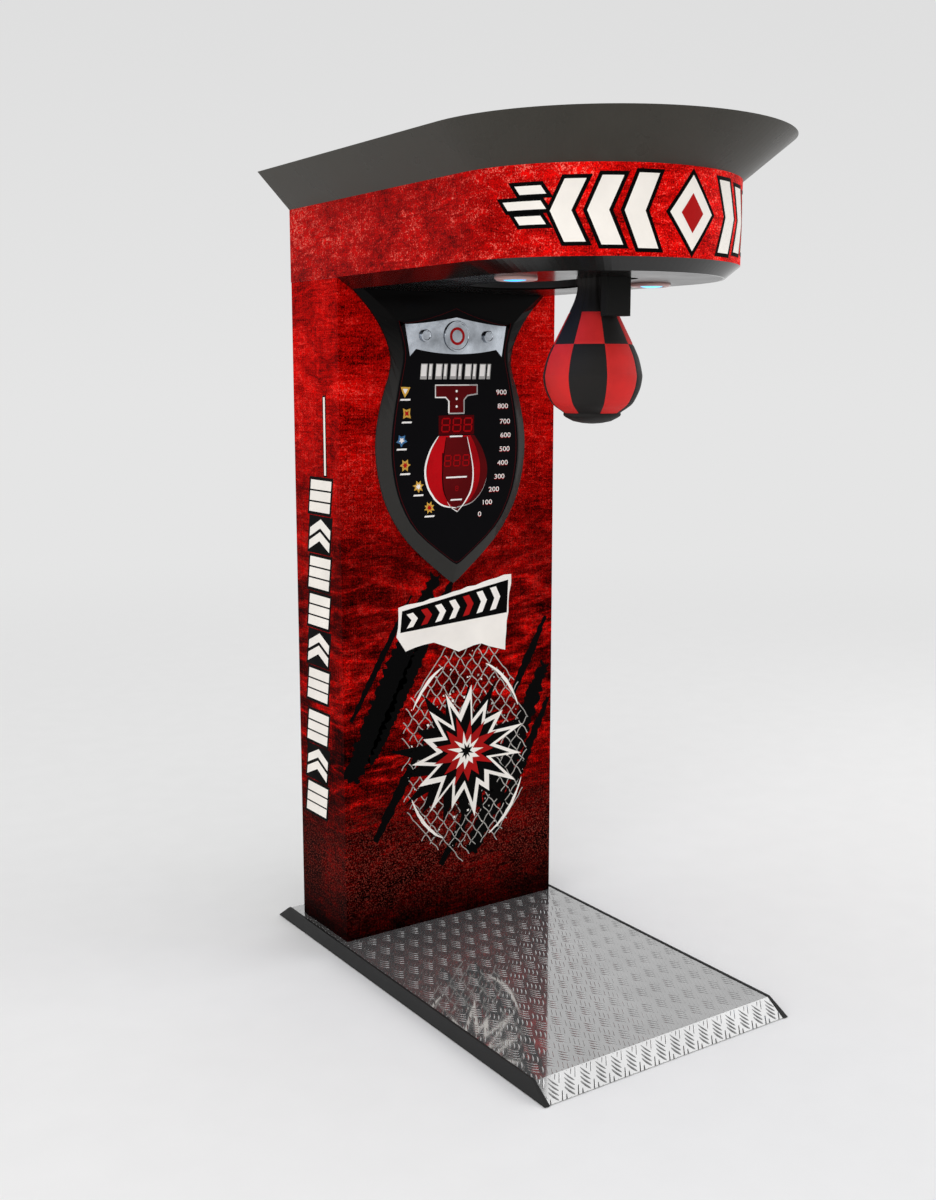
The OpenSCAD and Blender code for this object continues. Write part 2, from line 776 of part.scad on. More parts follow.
module coin_plate() {
    color("#b4b7ba") difference() {
        union() {
            span([plate_x, coin_y - coin_w / 2, coin_foot], [plate_x + coin_t, coin_y + coin_w / 2, coin_top]);
            span([plate_x - cup_d, coin_y - cup_w / 2 - cup_wall, cup_z0 - cup_wall],
                 [plate_x, coin_y + cup_w / 2 + cup_wall, cup_z1 + cup_wall]);
            translate([0, reject_y, slot_z]) rod_x(reject_r + 3, plate_x - sleeve_len, plate_x);
        }
        span([plate_x - cup_d + cup_wall, coin_y - cup_w / 2, cup_z0],
             [plate_x + coin_t + cut, coin_y + cup_w / 2, cup_z1]);
        span([plate_x - cut, slot_y - coin_slot_w / 2, slot_z - coin_slot_h / 2],
             [plate_x + coin_t + cut, slot_y + coin_slot_w / 2, slot_z + coin_slot_h / 2]);
        translate([0, reject_y, slot_z])
            rod_x(reject_r + run_gap, plate_x - sleeve_len - cut, plate_x + coin_t + cut);
        translate([flap_x, 0, flap_z])
            rod_y(flap_pin_r + run_gap, coin_y - flap_pin_half - gap, coin_y + flap_pin_half + gap);
    }
}

validator_w = 52;
validator_d = 100;
validator_z0 = cup_z1 + 22;
validator_z1 = slot_z + coin_slot_h / 2 + 12;

module coin_validator() {
    color("#2f3136") difference() {
        span([plate_x - validator_d, slot_y - validator_w / 2, validator_z0],
             [plate_x, slot_y + validator_w / 2, validator_z1]);
        span([plate_x - 70, slot_y - coin_slot_w / 2, slot_z - coin_slot_h / 2],
             [plate_x + cut, slot_y + coin_slot_w / 2, slot_z + coin_slot_h / 2]);
    }
}

module reject_button() {
    back = plate_x - sleeve_len - gap;
    color("#b3261e") translate([0, reject_y, slot_z]) {
        rod_x(reject_r, back, plate_x + coin_t + 4);
        rod_x(reject_r + 2.5, back - 3, back);
    }
}

module coin_flap() {
    color("#8f9296") {
        translate([flap_x, 0, flap_z]) {
            rod_y(flap_r, coin_y - cup_w / 2 + gap, coin_y + cup_w / 2 - gap);
            rod_y(flap_pin_r, coin_y - flap_pin_half, coin_y + flap_pin_half);
        }
        span([flap_x - flap_t / 2, coin_y - cup_w / 2 + gap, cup_z0 + 1],
             [flap_x + flap_t / 2, coin_y + cup_w / 2 - gap, flap_z]);
    }
}

module coin_chute() {
    wall = 2;
    x0 = plate_x - validator_d + 6;
    z0 = plate_top + cash_h + 30;
    color("#8f9296") difference() {
        span([x0, slot_y - chute_d / 2, z0], [x0 + chute_w, slot_y + chute_d / 2, validator_z0]);
        span([x0 + wall, slot_y - chute_d / 2 + wall, z0 - cut],
             [x0 + chute_w - wall, slot_y + chute_d / 2 - wall, validator_z0 + cut]);
    }
}

// Head

// Outline of the bag's bay in plan, grown outwards by a distance
function bay_plan(grow) =
    let (r = bay_r + grow, half = neck_half + grow, rf = bay_corner + grow,
         cy = pivot_y + bay_back, ny = pivot_y + neck_back, fy = pivot_y - bay_front - grow,
         reach = norm([half, ny - cy]), tangent = atan2(ny - cy, half) + acos(r / reach))
    concat(
        arc([0, cy], r, r, tangent, 180 - tangent, 48),
        [[-half, ny]],
        arc([rf - half, fy + rf], rf, rf, 180, 270, 10),
        arc([half - rf, fy + rf], rf, rf, 270, 360, 10),
        [[half, ny]]);

module bay_prism(grow, z0, z1) {
    translate([0, 0, z0]) linear_extrude(z1 - z0) polygon(bay_plan(grow));
}

module beam(x, y0, y1, z0, h, w) {
    span([x, y0, z0], [x + w, y1, z0 + h]);
}

module head_frame() {
    shaft_hole = shaft_r + 4;
    tie_y = pivot_y + bay_back + bay_r + 30;
    color("#4a4c4f") {
        both_sides() difference() {
            span([beam_x, beam_front, frame_head_z], [beam_x + beam_w, rear_inner, frame_head_z + beam_h]);
            span([beam_x + tube_wall, beam_front - cut, frame_head_z + tube_wall],
                 [beam_x + beam_w - tube_wall, rear_inner + cut, frame_head_z + beam_h - tube_wall]);
            translate([0, pivot_y, pivot_z]) rod_x(shaft_hole, beam_x - cut, beam_x + tube_wall + cut);
        }
        for (y = [beam_front, tie_y]) difference() {
            span([-beam_x, y, frame_head_z], [beam_x, y + beam_w, frame_head_z + tube_w]);
            span([-beam_x - cut, y + tube_wall, frame_head_z + tube_wall],
                 [beam_x + cut, y + beam_w - tube_wall, frame_head_z + tube_w - tube_wall]);
        }
    }
}

liner_fit = 0.5;

module head_base_board() {
    plan = head_plan(fascia_in - gap, front_inner, head_y, fascia_in - gap);
    color("#8a6f4d") difference() {
        translate([0, 0, fascia_z]) linear_extrude(head_board_t) polygon(plan);
        bay_prism(liner_t + liner_fit, fascia_z - cut, frame_head_z + cut);
        both_sides() translate([light_x, light_y, fascia_z - cut])
            cylinder(r = can_r + 1, h = head_board_t + 2 * cut);
    }
}

module strut(height) {
    translate([-strut_w / 2, -strut_w, 0]) cube([strut_w, strut_w, height]);
}

module head_struts() {
    height = fascia_top - frame_head_z;
    face = sqrt(pow(fascia_in, 2) - pow(strut_w / 2, 2));
    color("#9b7d55") {
        for (y = [rear_inner - tube_w / 2, pivot_y + 480, pivot_y + 210])
            both_sides() translate([fascia_in, y, frame_head_z]) rotate([0, 0, -90]) strut(height);
        for (a = [-45, 0, 45])
            translate([0, head_y, frame_head_z]) rotate([0, 0, 180 + a]) translate([0, face, 0]) strut(height);
    }
}

module fascia() {
    color("#c01818") difference() {
        translate([0, 0, fascia_z]) linear_extrude(fascia_h) union() {
            translate([0, head_y]) circle(r = fascia_r, $fn = 180);
            translate([-fascia_r, head_y]) square([2 * fascia_r, col_rear - head_y]);
        }
        translate([0, 0, fascia_z - cut]) linear_extrude(fascia_h + 2 * cut) union() {
            translate([0, head_y]) circle(r = fascia_in, $fn = 180);
            translate([-fascia_in, head_y]) square([2 * fascia_in, col_rear + cut - head_y]);
        }
    }
}

// Plan outlines of the skirt and the crown between their lower and upper edges
skirt_half = fascia_r - skirt_in;
// Horizontal thickness of the sloping walls
skirt_wall = shell_t * norm([skirt_in, skirt_h]) / skirt_h;
crown_wall = shell_t * norm([crown_flare, crown_h]) / crown_h;
function skirt_plan(t, inset) =
    let (half = skirt_half + (fascia_r - skirt_half) * t - inset,
         cy = head_y + (skirt_front_in - skirt_in) * (1 - t),
         front = head_y - fascia_r + skirt_front_in * (1 - t) + inset)
    head_plan(half, col_front - inset, cy, cy - front);

crown_y = head_y + crown_flare - crown_flare_front;
function crown_plan(t, inset) =
    let (half = fascia_r + crown_flare * t - inset,
         cy = head_y + (crown_y - head_y) * t,
         front = head_y - fascia_r - crown_flare_front * t + inset)
    head_plan(half, col_rear - inset, cy, cy - front);

// A level of the crown: its plan at a height, with the wall's slope allowed for
function crown_level(z, inset) = raised(crown_plan((z - fascia_top) / crown_h, inset), z);

module skirt() {
    flange = 20;
    t = 1 - shell_t / skirt_h;
    color("#45433f") ring_shell([
        raised(skirt_plan(1, 0), fascia_z), raised(skirt_plan(0, 0), underside_z),
        raised(skirt_plan(0, skirt_wall), underside_z), raised(skirt_plan(t, skirt_wall), fascia_z - shell_t),
        raised(skirt_plan(t, flange), fascia_z - shell_t), raised(skirt_plan(t, flange), fascia_z)]);
}

module underside_panel() {
    color("#3f3d3a") difference() {
        translate([0, 0, underside_z]) linear_extrude(underside_t) polygon(skirt_plan(0, skirt_wall + gap));
        bay_prism(0, underside_z - cut, underside_z + underside_t + cut);
        both_sides() translate([light_x, light_y, underside_z - cut])
            cylinder(r = can_r + 0.5, h = underside_t + 2 * cut);
    }
}

cover_z = crown_top - cover_drop - cover_t;

module crown() {
    lip = 16;
    flange = 26;
    ledge_z = cover_z - shell_t;
    color("#4a4843") ring_shell([
        crown_level(fascia_top, 0), crown_level(fascia_top, flange), crown_level(fascia_top + shell_t, flange),
        crown_level(fascia_top + shell_t, crown_wall), crown_level(ledge_z, crown_wall),
        crown_level(ledge_z, lip), crown_level(cover_z, lip), crown_level(cover_z, crown_wall),
        crown_level(crown_top, crown_wall), crown_level(crown_top, 0)]);
}

module crown_cover() {
    t = (cover_z - fascia_top) / crown_h;
    color("#3b3a37") translate([0, 0, cover_z]) linear_extrude(cover_t) polygon(crown_plan(t, crown_wall + gap));
}

liner_z = underside_z + underside_t;
liner_top = underside_z + bay_h;

module bay_liner() {
    flange = 14;
    color("#1d1d1f") difference() {
        union() {
            bay_prism(liner_t, liner_z, liner_top + liner_t);
            bay_prism(flange, liner_z, liner_z + liner_t);
        }
        bay_prism(0, liner_z - cut, liner_top);
        translate([0, pivot_y, pivot_z]) rod_x(shaft_r + 4, -neck_half - 10, neck_half + 10);
    }
}

module bay_bumper() {
    y = pivot_y + bay_back;
    color("#262628") translate([0, y, liner_top - bumper_t]) linear_extrude(bumper_t) union() {
        translate([-50, -80]) square([100, 120]);
        translate([0, 40]) circle(r = 50);
    }
}

stop_z = liner_z + 46;

module front_stop() {
    color("#161616") translate([0, 0, stop_z]) rod_y(stop_r, pivot_y - bay_front, pivot_y - arm_set - arm_t - gap);
}

can_r = light_r - 5.5;
can_wall = 3;
can_h = 34;

module light_ring() {
    lens_r = light_r - 15;
    rotate_extrude() polygon([
        [lens_r, 0], [lens_r - 2, -light_rim], [light_r - 3, -light_rim], [light_r, 1 - light_rim], [light_r, 0],
        [can_r, 0], [can_r, can_h], [0, can_h], [0, can_h - can_wall], [can_r - can_wall, can_h - can_wall],
        [can_r - can_wall, 0]]);
}

module light_rings() {
    color("#a98a86") both_sides() translate([light_x, light_y, underside_z]) light_ring();
}

// Flanged lens seated on the ring, its dome standing out through the ring's opening
module light_lens() {
    flange_r = can_r - can_wall - 0.1;
    dome_r = light_r - 17.4;
    rotate_extrude() polygon(concat(
        [[0, 3], [flange_r, 3], [flange_r, 0]],
        [for (a = [-15:15:90]) a < 0 ? [dome_r, 0] : [dome_r * cos(a), -light_rim - light_dome * sin(a)]]));
}

module light_lenses() {
    color("#4fd0f5") both_sides() translate([light_x, light_y, underside_z]) light_lens();
}

// Swing arm, bag and latch

module shaft_at() {
    translate([0, pivot_y, pivot_z]) children();
}

module swing_shaft() {
    color("#b7babd") shaft_at() rod_x(shaft_r, -beam_x - beam_w / 2, beam_x + beam_w / 2);
}

bearing_t = 8;
bearing_boss = 12;

module shaft_bearings() {
    color("#5d6165") both_sides() shaft_at() difference() {
        union() {
            rod_x(shaft_r + 20, beam_x - bearing_t, beam_x);
            rod_x(shaft_r + 11, beam_x - bearing_t - bearing_boss, beam_x - bearing_t);
        }
        rod_x(shaft_r + run_gap, beam_x - bearing_t - bearing_boss - cut, beam_x + cut);
        for (a = [45:90:315]) rotate([a, 0, 0]) translate([0, 0, shaft_r + 15.5])
            rod_x(2.5, beam_x - bearing_t - cut, beam_x + cut);
    }
}

bag_top = underside_z + bag_rise;
arm_rear = pivot_y - arm_set;
arm_front = arm_rear - arm_t;
washer_t = 4;
stud_len = bag_len / 4;

module swing_arm() {
    half = arm_w / 2;
    hanger_z = bag_top + washer_t;
    hanger_t = 12;
    corner = 4;
    section = [[corner - half, arm_front], [half - corner, arm_front], [half, arm_front + corner],
               [half, arm_rear - corner], [half - corner, arm_rear], [corner - half, arm_rear],
               [-half, arm_rear - corner], [-half, arm_front + corner]];
    color("#1b1b1b") difference() {
        union() {
            translate([0, 0, underside_z - arm_drop])
                linear_extrude(pivot_z + 10 - underside_z + arm_drop) polygon(section);
            shaft_at() rod_x(hub_r, -neck_half + 7, neck_half - 7);
            span([-28, arm_rear - cut, hanger_z], [28, bag_y + 30, hanger_z + hanger_t]);
            translate([0, bag_y, bag_top]) cylinder(r = 40, h = washer_t);
            translate([0, bag_y, bag_top - stud_len]) cylinder(r = stud_r, h = stud_len);
            for (x = [-28, 20]) prism_x([
                [arm_rear - cut, hanger_z + hanger_t], [arm_rear - cut, hanger_z + hanger_t + 34],
                [bag_y + 20, hanger_z + hanger_t]], x, x + 8);
        }
        shaft_at() rod_x(shaft_r + run_gap, -neck_half, neck_half);
    }
}

// Bag profile: share of the radius against share of the length, from the neck's top down to the cap
bag_profile = [
    [0.41, 0], [0.40, 0.03], [0.355, 0.08], [0.335, 0.125], [0.38, 0.19], [0.49, 0.275], [0.78, 0.468],
    [0.92, 0.569], [0.99, 0.662], [1, 0.70], [0.965, 0.766], [0.885, 0.829], [0.795, 0.876], [0.61, 0.92]];
bag_foot = 0.932;
cap_r = 0.57;

module bag_body() {
    side = [for (p = smooth(bag_profile, 3)) [p.x * bag_r, bag_top - p.y * bag_len]];
    foot = bag_top - bag_foot * bag_len;
    color("#b02424") translate([0, bag_y, 0]) difference() {
        rotate_extrude() polygon(concat([[0, bag_top]], side, [[cap_r * bag_r, foot], [0, foot]]));
        translate([0, 0, bag_top - stud_len - 2]) cylinder(r = stud_r + 0.2, h = stud_len + 2 + cut);
    }
}

module bag_cap() {
    foot = bag_top - bag_foot * bag_len;
    rim = [[0.57, 0], [0.575, 0.012], [0.53, 0.03], [0.38, 0.052], [0.2, 0.064], [0, 0.068]];
    side = [for (p = smooth(rim, 2)) [p.x * bag_r, foot - p.y * bag_len]];
    color("#1b1b1d") translate([0, bag_y, 0]) rotate_extrude() polygon(concat([[0, foot]], side));
}

disc_x = -100;
disc_t = 3;
beam_top = frame_head_z + beam_h;

module speed_disc() {
    color("#9aa0a6") shaft_at() difference() {
        union() {
            rod_x(disc_r, disc_x - disc_t, disc_x);
            rod_x(shaft_r + 6, disc_x, disc_x + 14);
        }
        rod_x(shaft_r + run_gap, disc_x - disc_t - cut, disc_x + 14 + cut);
        for (i = [0:disc_slots - 1]) rotate([i * 360 / disc_slots, 0, 0])
            span([disc_x - disc_t - cut, -1.5, disc_r - 9], [disc_x + cut, 1.5, disc_r + cut]);
    }
}

module speed_sensor() {
    x0 = disc_x - disc_t - 10;
    x1 = disc_x + 10;
    top = beam_top + 9;
    color("#24282c") translate([0, pivot_y, 0]) difference() {
        union() {
            span([x0, -15, pivot_z + disc_r - 8], [x1, 15, top]);
            span([-beam_x - beam_w, -15, beam_top], [x0, 15, beam_top + 5]);
        }
        span([disc_x - disc_t - 1.5, -15 - cut, pivot_z], [disc_x + 1.5, 15 + cut, pivot_z + disc_r + 3]);
    }
}

crank_x = 94;
crank_t = 8;
pawl_x = crank_x + crank_t + 6;
pawl_t = 12;
striker_end = pawl_x + pawl_t + 4;

module latch_crank() {
    color("#8e9297") shaft_at() difference() {
        union() {
            rod_x(shaft_r + 8, crank_x, crank_x + crank_t);
            span([crank_x, -9, 0], [crank_x + crank_t, 9, crank_len]);
            translate([0, 0, crank_len]) rod_x(9, crank_x, crank_x + crank_t);
            translate([0, 0, crank_len]) rod_x(striker_r, crank_x + crank_t, striker_end);
        }
        rod_x(shaft_r + run_gap, crank_x - cut, crank_x + crank_t + cut);
    }
}

// The pawl hangs clear of the striker's path; turned in, its end stands behind the latched striker
pawl_y = pivot_y - pawl_front;
pawl_z = pivot_z + pawl_rise;
latched = [pivot_y - crank_len * sin(swing_angle), pivot_z + crank_len * cos(swing_angle)];
pawl_len = norm(latched - [pawl_y, pawl_z]) - striker_r - 1;
pawl_pin_r = 5;

module latch_pawl() {
    half = pawl_w / 2;
    color("#c08a2b") translate([0, pawl_y, pawl_z]) difference() {
        union() {
            rod_x(pawl_pin_r + 6, pawl_x, pawl_x + pawl_t);
            span([pawl_x, -half, -pawl_len], [pawl_x + pawl_t, half, 0]);
        }
        rod_x(pawl_pin_r + run_gap, pawl_x - cut, pawl_x + pawl_t + cut);
    }
}

bracket_t = 6;
bracket_x = striker_end + 2;
bracket_y0 = pawl_y - 100;
bracket_step = pawl_y - 40;
bracket_y1 = pawl_y + 26;

module latch_bracket() {
    z1 = beam_top + bracket_t;
    color("#6d7074") {
        span([crank_x - 2, bracket_y0, beam_top], [beam_x + beam_w, bracket_step, z1]);
        span([bracket_x, bracket_step, beam_top], [beam_x + beam_w, bracket_y1, z1]);
        span([bracket_x, pawl_y - 26, z1], [bracket_x + bracket_t, bracket_y1, pawl_z + 15]);
        translate([0, pawl_y, pawl_z]) rod_x(pawl_pin_r, pawl_x - 3, bracket_x);
    }
}

solenoid_z = beam_top + bracket_t + solenoid_h / 2;
solenoid_x = pawl_x + pawl_t / 2;
solenoid_y1 = bracket_step - 4;
plunger_tip = pawl_y - pawl_w / 2 - gap;

module solenoid_body() {
    color("#3f5f8a") difference() {
        span([solenoid_x - 20, solenoid_y1 - solenoid_len, beam_top + bracket_t],
             [solenoid_x + 20, solenoid_y1, beam_top + bracket_t + solenoid_h]);
        translate([solenoid_x, 0, solenoid_z])
            rod_y(plunger_r + run_gap, solenoid_y1 - solenoid_len + 8, solenoid_y1 + cut);
    }
}

module solenoid_plunger() {
    nose = 10;
    color("#d0d3d6") translate([solenoid_x, 0, solenoid_z]) {
        rod_y(plunger_r, solenoid_y1 - solenoid_len + 10, plunger_tip - nose);
        rod_y(2.5, plunger_tip - nose, plunger_tip);
    }
}

// Display on the column's front

// Right halves of the housing's outlines, from the tip up: distance below the head's underside, half width.
// Both lists have as many points, so that the bevel joins them one to one. They are drawn for a housing of
// drawn_h and drawn_half, and stretched to the housing's own height and to the skirt that it stands under.
drawn_h = 767;
drawn_half = 298;
// How far the housing's top corners stay inside the skirt's lower edge
corner_in = 1.5;
shield_v = shield_h / drawn_h;
shield_k = (skirt_half - corner_in) / drawn_half;
housing_back = [[drawn_h, 0], [746, 30], [653, 137], [560, 201], [467, 230], [374, 236], [281, 218], [188, 189],
                [120, 203], [55, 244], [0, drawn_half]];
housing_face = [[718, 0], [698, 31], [620, 129], [543, 178], [465, 200], [388, 205], [310, 196], [233, 180],
                [155, 166], [panel_drop / shield_v, 186], [0, 276]];
steps = 3;
top_steps = 10;
face_y = col_front - shield_d;

// The right half moved in by a distance, up to one of its listed points
function shield_side(list, inset, last) =
    smooth([for (i = [0:last]) [max(list[i][1] * shield_k - inset, 0),
        underside_z - max(list[i][0] * shield_v, gap) + (i == 0 ? inset : 0)]], steps);

// A whole outline: up the right side, across the top, down the left side
function shield_line(side, top) =
    let (n = len(side)) concat(side, top, [for (i = [n - 1:-1:1]) [-side[i].x, side[i].y]]);

// The housing's outline with its straight top edge
function housing_line(list) =
    let (side = shield_side(list, 0, 10), half = side[len(side) - 1].x, z = underside_z - gap)
    shield_line(side, [for (i = [1:top_steps]) [half * (1 - 2 * i / (top_steps + 1)), z]]);

// The panel's outline, inside the face's rim, with its peaked top edge
peak_steps = top_steps + 2 * steps;
function panel_line(inset) =
    let (side = shield_side(housing_face, panel_rim + inset, 9), corner = side[len(side) - 1])
    shield_line(
        [for (p = side) [p.x, p.y - inset * (p.y == corner.y ? 1 : 0)]],
        [for (i = [1:peak_steps]) let (s = 1 - 2 * i / (peak_steps + 1))
            [corner.x * s, corner.y - inset + peak_h * pow(1 - abs(s), 1.6)]]);

function shield_ring(line, depth) = [for (p = line) [p.x, col_front - depth, p.y]];

module shield_housing() {
    rim = 8;
    color("#3c3b39") ring_shell([
        shield_ring(housing_line(housing_back), 0), shield_ring(housing_line(housing_back), shield_edge),
        shield_ring(housing_line(housing_face), shield_d), shield_ring(panel_line(-gap), shield_d),
        shield_ring(panel_line(-gap), shield_d - panel_t), shield_ring(panel_line(rim), shield_d - panel_t),
        shield_ring(panel_line(rim), 0)]);
}

digits_z = underside_z - 0.446 * shield_h;
digits2_z = underside_z - 0.5685 * shield_h;
digits2_w = 0.82 * digits_w;
digits2_h = 0.84 * digits_h;
credit_z = underside_z - 0.665 * shield_h;
credit_w = 0.25 * digits_w;
credit_h = 0.36 * digits_h;
lamp_top = digits_z - digits_h / 2 - 3;

module window(w, h, z, grow, y0, y1) {
    span([-w / 2 - grow, y0, z - h / 2 - grow], [w / 2 + grow, y1, z + h / 2 + grow]);
}

// Bag-shaped outline of the lamp lens, from its flat top round the belly to its point
function lamp_outline(grow) =
    let (w = lamp_w / 2 + grow,
         right = smooth([[0.57 * w, lamp_top + grow], [0.84 * w, lamp_top - 0.2 * lamp_h],
                         [w, lamp_top - 0.47 * lamp_h], [0.88 * w, lamp_top - 0.74 * lamp_h],
                         [0.5 * w, lamp_top - 0.94 * lamp_h], [0, lamp_top - lamp_h - grow]], 5),
         n = len(right))
    concat(right, [for (i = [n - 2:-1:0]) [-right[i].x, right[i].y]]);

module shield_panel() {
    color("#0c0c0e") difference() {
        prism_y(panel_line(0), face_y, face_y + panel_t);
        window(digits_w, digits_h, digits_z, 0.2, face_y - cut, face_y + panel_t + cut);
        prism_y(lamp_outline(0.2), face_y - cut, face_y + panel_t + cut);
    }
}

module lamp_lens() {
    color("#7a1116") difference() {
        prism_y(lamp_outline(0), face_y, face_y + panel_t);
        window(digits2_w, digits2_h, digits2_z, 0.2, face_y - cut, face_y + panel_t + cut);
        window(credit_w, credit_h, credit_z, 0.2, face_y - cut, face_y + panel_t + cut);
    }
}

module digit_displays() {
    depth = col_front - 4;
    color("#5c0d10") {
        window(digits_w, digits_h, digits_z, 0, face_y, depth);
        window(digits2_w, digits2_h, digits2_z, 0, face_y, depth);
        window(credit_w, credit_h, credit_z, 0, face_y, depth);
    }
}

// Bright plate above the displays, with a plain boss and two bolt heads
crest_t = 2;

module shield_crest() {
    top = underside_z - panel_drop - 8;
    half = 158 * shield_k;
    upper = [for (i = [0:16]) let (s = 1 - i / 8) [half * s, top + 20 * pow(1 - abs(s), 1.5)]];
    lower = [for (i = [0:16]) let (s = i / 8 - 1)
             [(half - 14) * s, top - 56 - 18 * pow(cos(90 * s), 0.7) - (abs(s) == 1 ? 24 : 0)]];
    color("#c9ccce") {
        prism_y(concat(upper, lower), face_y - crest_t, face_y);
        translate([0, 0, top - 28]) {
            rod_y(39, face_y - crest_t - 2, face_y - crest_t);
            for (x = [-98, 98]) translate([x, 0, 0]) rod_y(15, face_y - crest_t - 5, face_y - crest_t);
        }
    }
}

base_frame();
floor_pads();
tread_plate();
side_plate_left();
side_plate_right();
wheel_brackets();
wheel_left();
wheel_right();
column_floor();
column_frame();
column_front();
column_side_left();
column_side_right();
rear_panel();
service_door();
door_hinges();
door_lock_barrel();
door_lock_plug();
mains_inlet();
rocker_switch();
power_supply();
control_board();
speaker();
cash_box();
coin_plate();
coin_validator();
reject_button();
coin_flap();
coin_chute();
head_frame();
head_base_board();
head_struts();
fascia();
skirt();
underside_panel();
crown();
crown_cover();
bay_liner();
bay_bumper();
front_stop();
light_rings();
light_lenses();
swing_shaft();
shaft_bearings();
swing_arm();
bag_body();
bag_cap();
speed_disc();
speed_sensor();
latch_crank();
latch_pawl();
latch_bracket();
solenoid_body();
solenoid_plunger();
shield_housing();
shield_panel();
shield_crest();
digit_displays();
lamp_lens();
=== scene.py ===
"""Boxing arcade machine: finishes, print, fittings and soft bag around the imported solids."""
import logging
import math
import random
from contextlib import contextmanager
from dataclasses import dataclass, field
from enum import Enum
from typing import Any, Callable, Iterator, Sequence

import bpy
from bpy.types import Material, Node, NodeSocket, NodeTree, Object
from mathutils import Matrix, Vector


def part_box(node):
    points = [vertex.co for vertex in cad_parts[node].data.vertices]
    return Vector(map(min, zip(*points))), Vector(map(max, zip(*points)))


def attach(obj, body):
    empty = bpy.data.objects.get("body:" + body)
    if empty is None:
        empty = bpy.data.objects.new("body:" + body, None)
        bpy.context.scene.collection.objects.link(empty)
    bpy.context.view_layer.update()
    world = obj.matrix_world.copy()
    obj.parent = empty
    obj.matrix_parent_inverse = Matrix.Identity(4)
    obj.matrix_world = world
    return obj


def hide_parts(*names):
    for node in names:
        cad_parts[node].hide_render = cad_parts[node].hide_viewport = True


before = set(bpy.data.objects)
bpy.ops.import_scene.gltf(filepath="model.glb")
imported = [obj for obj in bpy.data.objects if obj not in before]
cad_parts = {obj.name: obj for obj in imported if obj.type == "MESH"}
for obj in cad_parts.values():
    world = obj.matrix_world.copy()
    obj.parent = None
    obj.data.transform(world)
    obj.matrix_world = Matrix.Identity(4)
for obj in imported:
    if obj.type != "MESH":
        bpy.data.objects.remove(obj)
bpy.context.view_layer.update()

log = logging.getLogger("machine")
MM = 0.001
# Corners closer than this, in metres, become one
MERGE = 2e-6
# Least that a sharp corner's two sides count as having in common, so that its mitre stays short
SHARPEST = 0.35
# A place or direction, a row of places, and a closed row of places in a plane
Point = Sequence[float]
Line = Sequence[Point]
Outline = list[tuple[float, float]]


def linear(code: str) -> tuple[float, float, float, float]:
    """Turn an sRGB hex colour into linear light.

    Args:
        code: Colour as "#rrggbb".

    Returns:
        The linear red, green, blue and an alpha of one.
    """
    shares = [int(code[i:i + 2], 16) / 255 for i in (1, 3, 5)]
    return (*[c / 12.92 if c <= 0.04045 else ((c + 0.055) / 1.055) ** 2.4 for c in shares], 1.0)


def radians(degrees: Point) -> list[float]:
    """Turn angles in degrees into radians."""
    return [math.radians(a) for a in degrees]


def polar(radius: float, angles: Sequence[float], centre: Point = (0, 0)) -> Outline:
    """Points on a circle round a centre, at angles in degrees."""
    return [(centre[0] + radius * math.cos(a), centre[1] + radius * math.sin(a)) for a in radians(angles)]


def rectangle(u: float, v: float, width: float, height: float) -> Outline:
    """Outline of a rectangle round its middle."""
    return [(u + a * width / 2, v + b * height / 2) for a, b in ((-1, -1), (1, -1), (1, 1), (-1, 1))]


@dataclass
class Graph:
    """Nodes of a material or of the world, and the node at their end."""

    tree: NodeTree
    end: Node

    def __post_init__(self) -> None:
        """Add the coordinates; a place is in metres in the machine's frame."""
        self.coords = self.add("TexCoord").node.outputs
        self.place = self.coords["Object"]

    def add(self, kind: str, inputs: dict[Any, Any] | Sequence[Any] = (), out: int = 0, **settings: Any
            ) -> NodeSocket:
        """Add one node with its settings, values and links.

        Args:
            kind: The node's type, without its ShaderNode prefix.
            inputs: Values or other nodes' outputs, in the sockets' order or by their names or numbers.
            out: Number of the output to return.
            settings: Attributes of the node.

        Returns:
            One output of the new node.
        """
        node = self.tree.nodes.new("ShaderNode" + kind)
        for key, value in settings.items():
            setattr(node, key, value)
        for key, value in inputs.items() if isinstance(inputs, dict) else enumerate(inputs):
            if isinstance(value, NodeSocket):
                self.tree.links.new(value, node.inputs[key])
            else:
                node.inputs[key].default_value = value
        return node.outputs[out]

    def feed(self, name: str, source: NodeSocket) -> None:
        """Link an output to an input of the end node."""
        self.tree.links.new(source, self.end.inputs[name])


class Axis(Enum):
    """Long direction of a pattern, in the machine's frame."""

    X = (0.04, 1.0, 1.0)
    Y = (1.0, 0.04, 1.0)
    Z = (1.0, 1.0, 0.04)


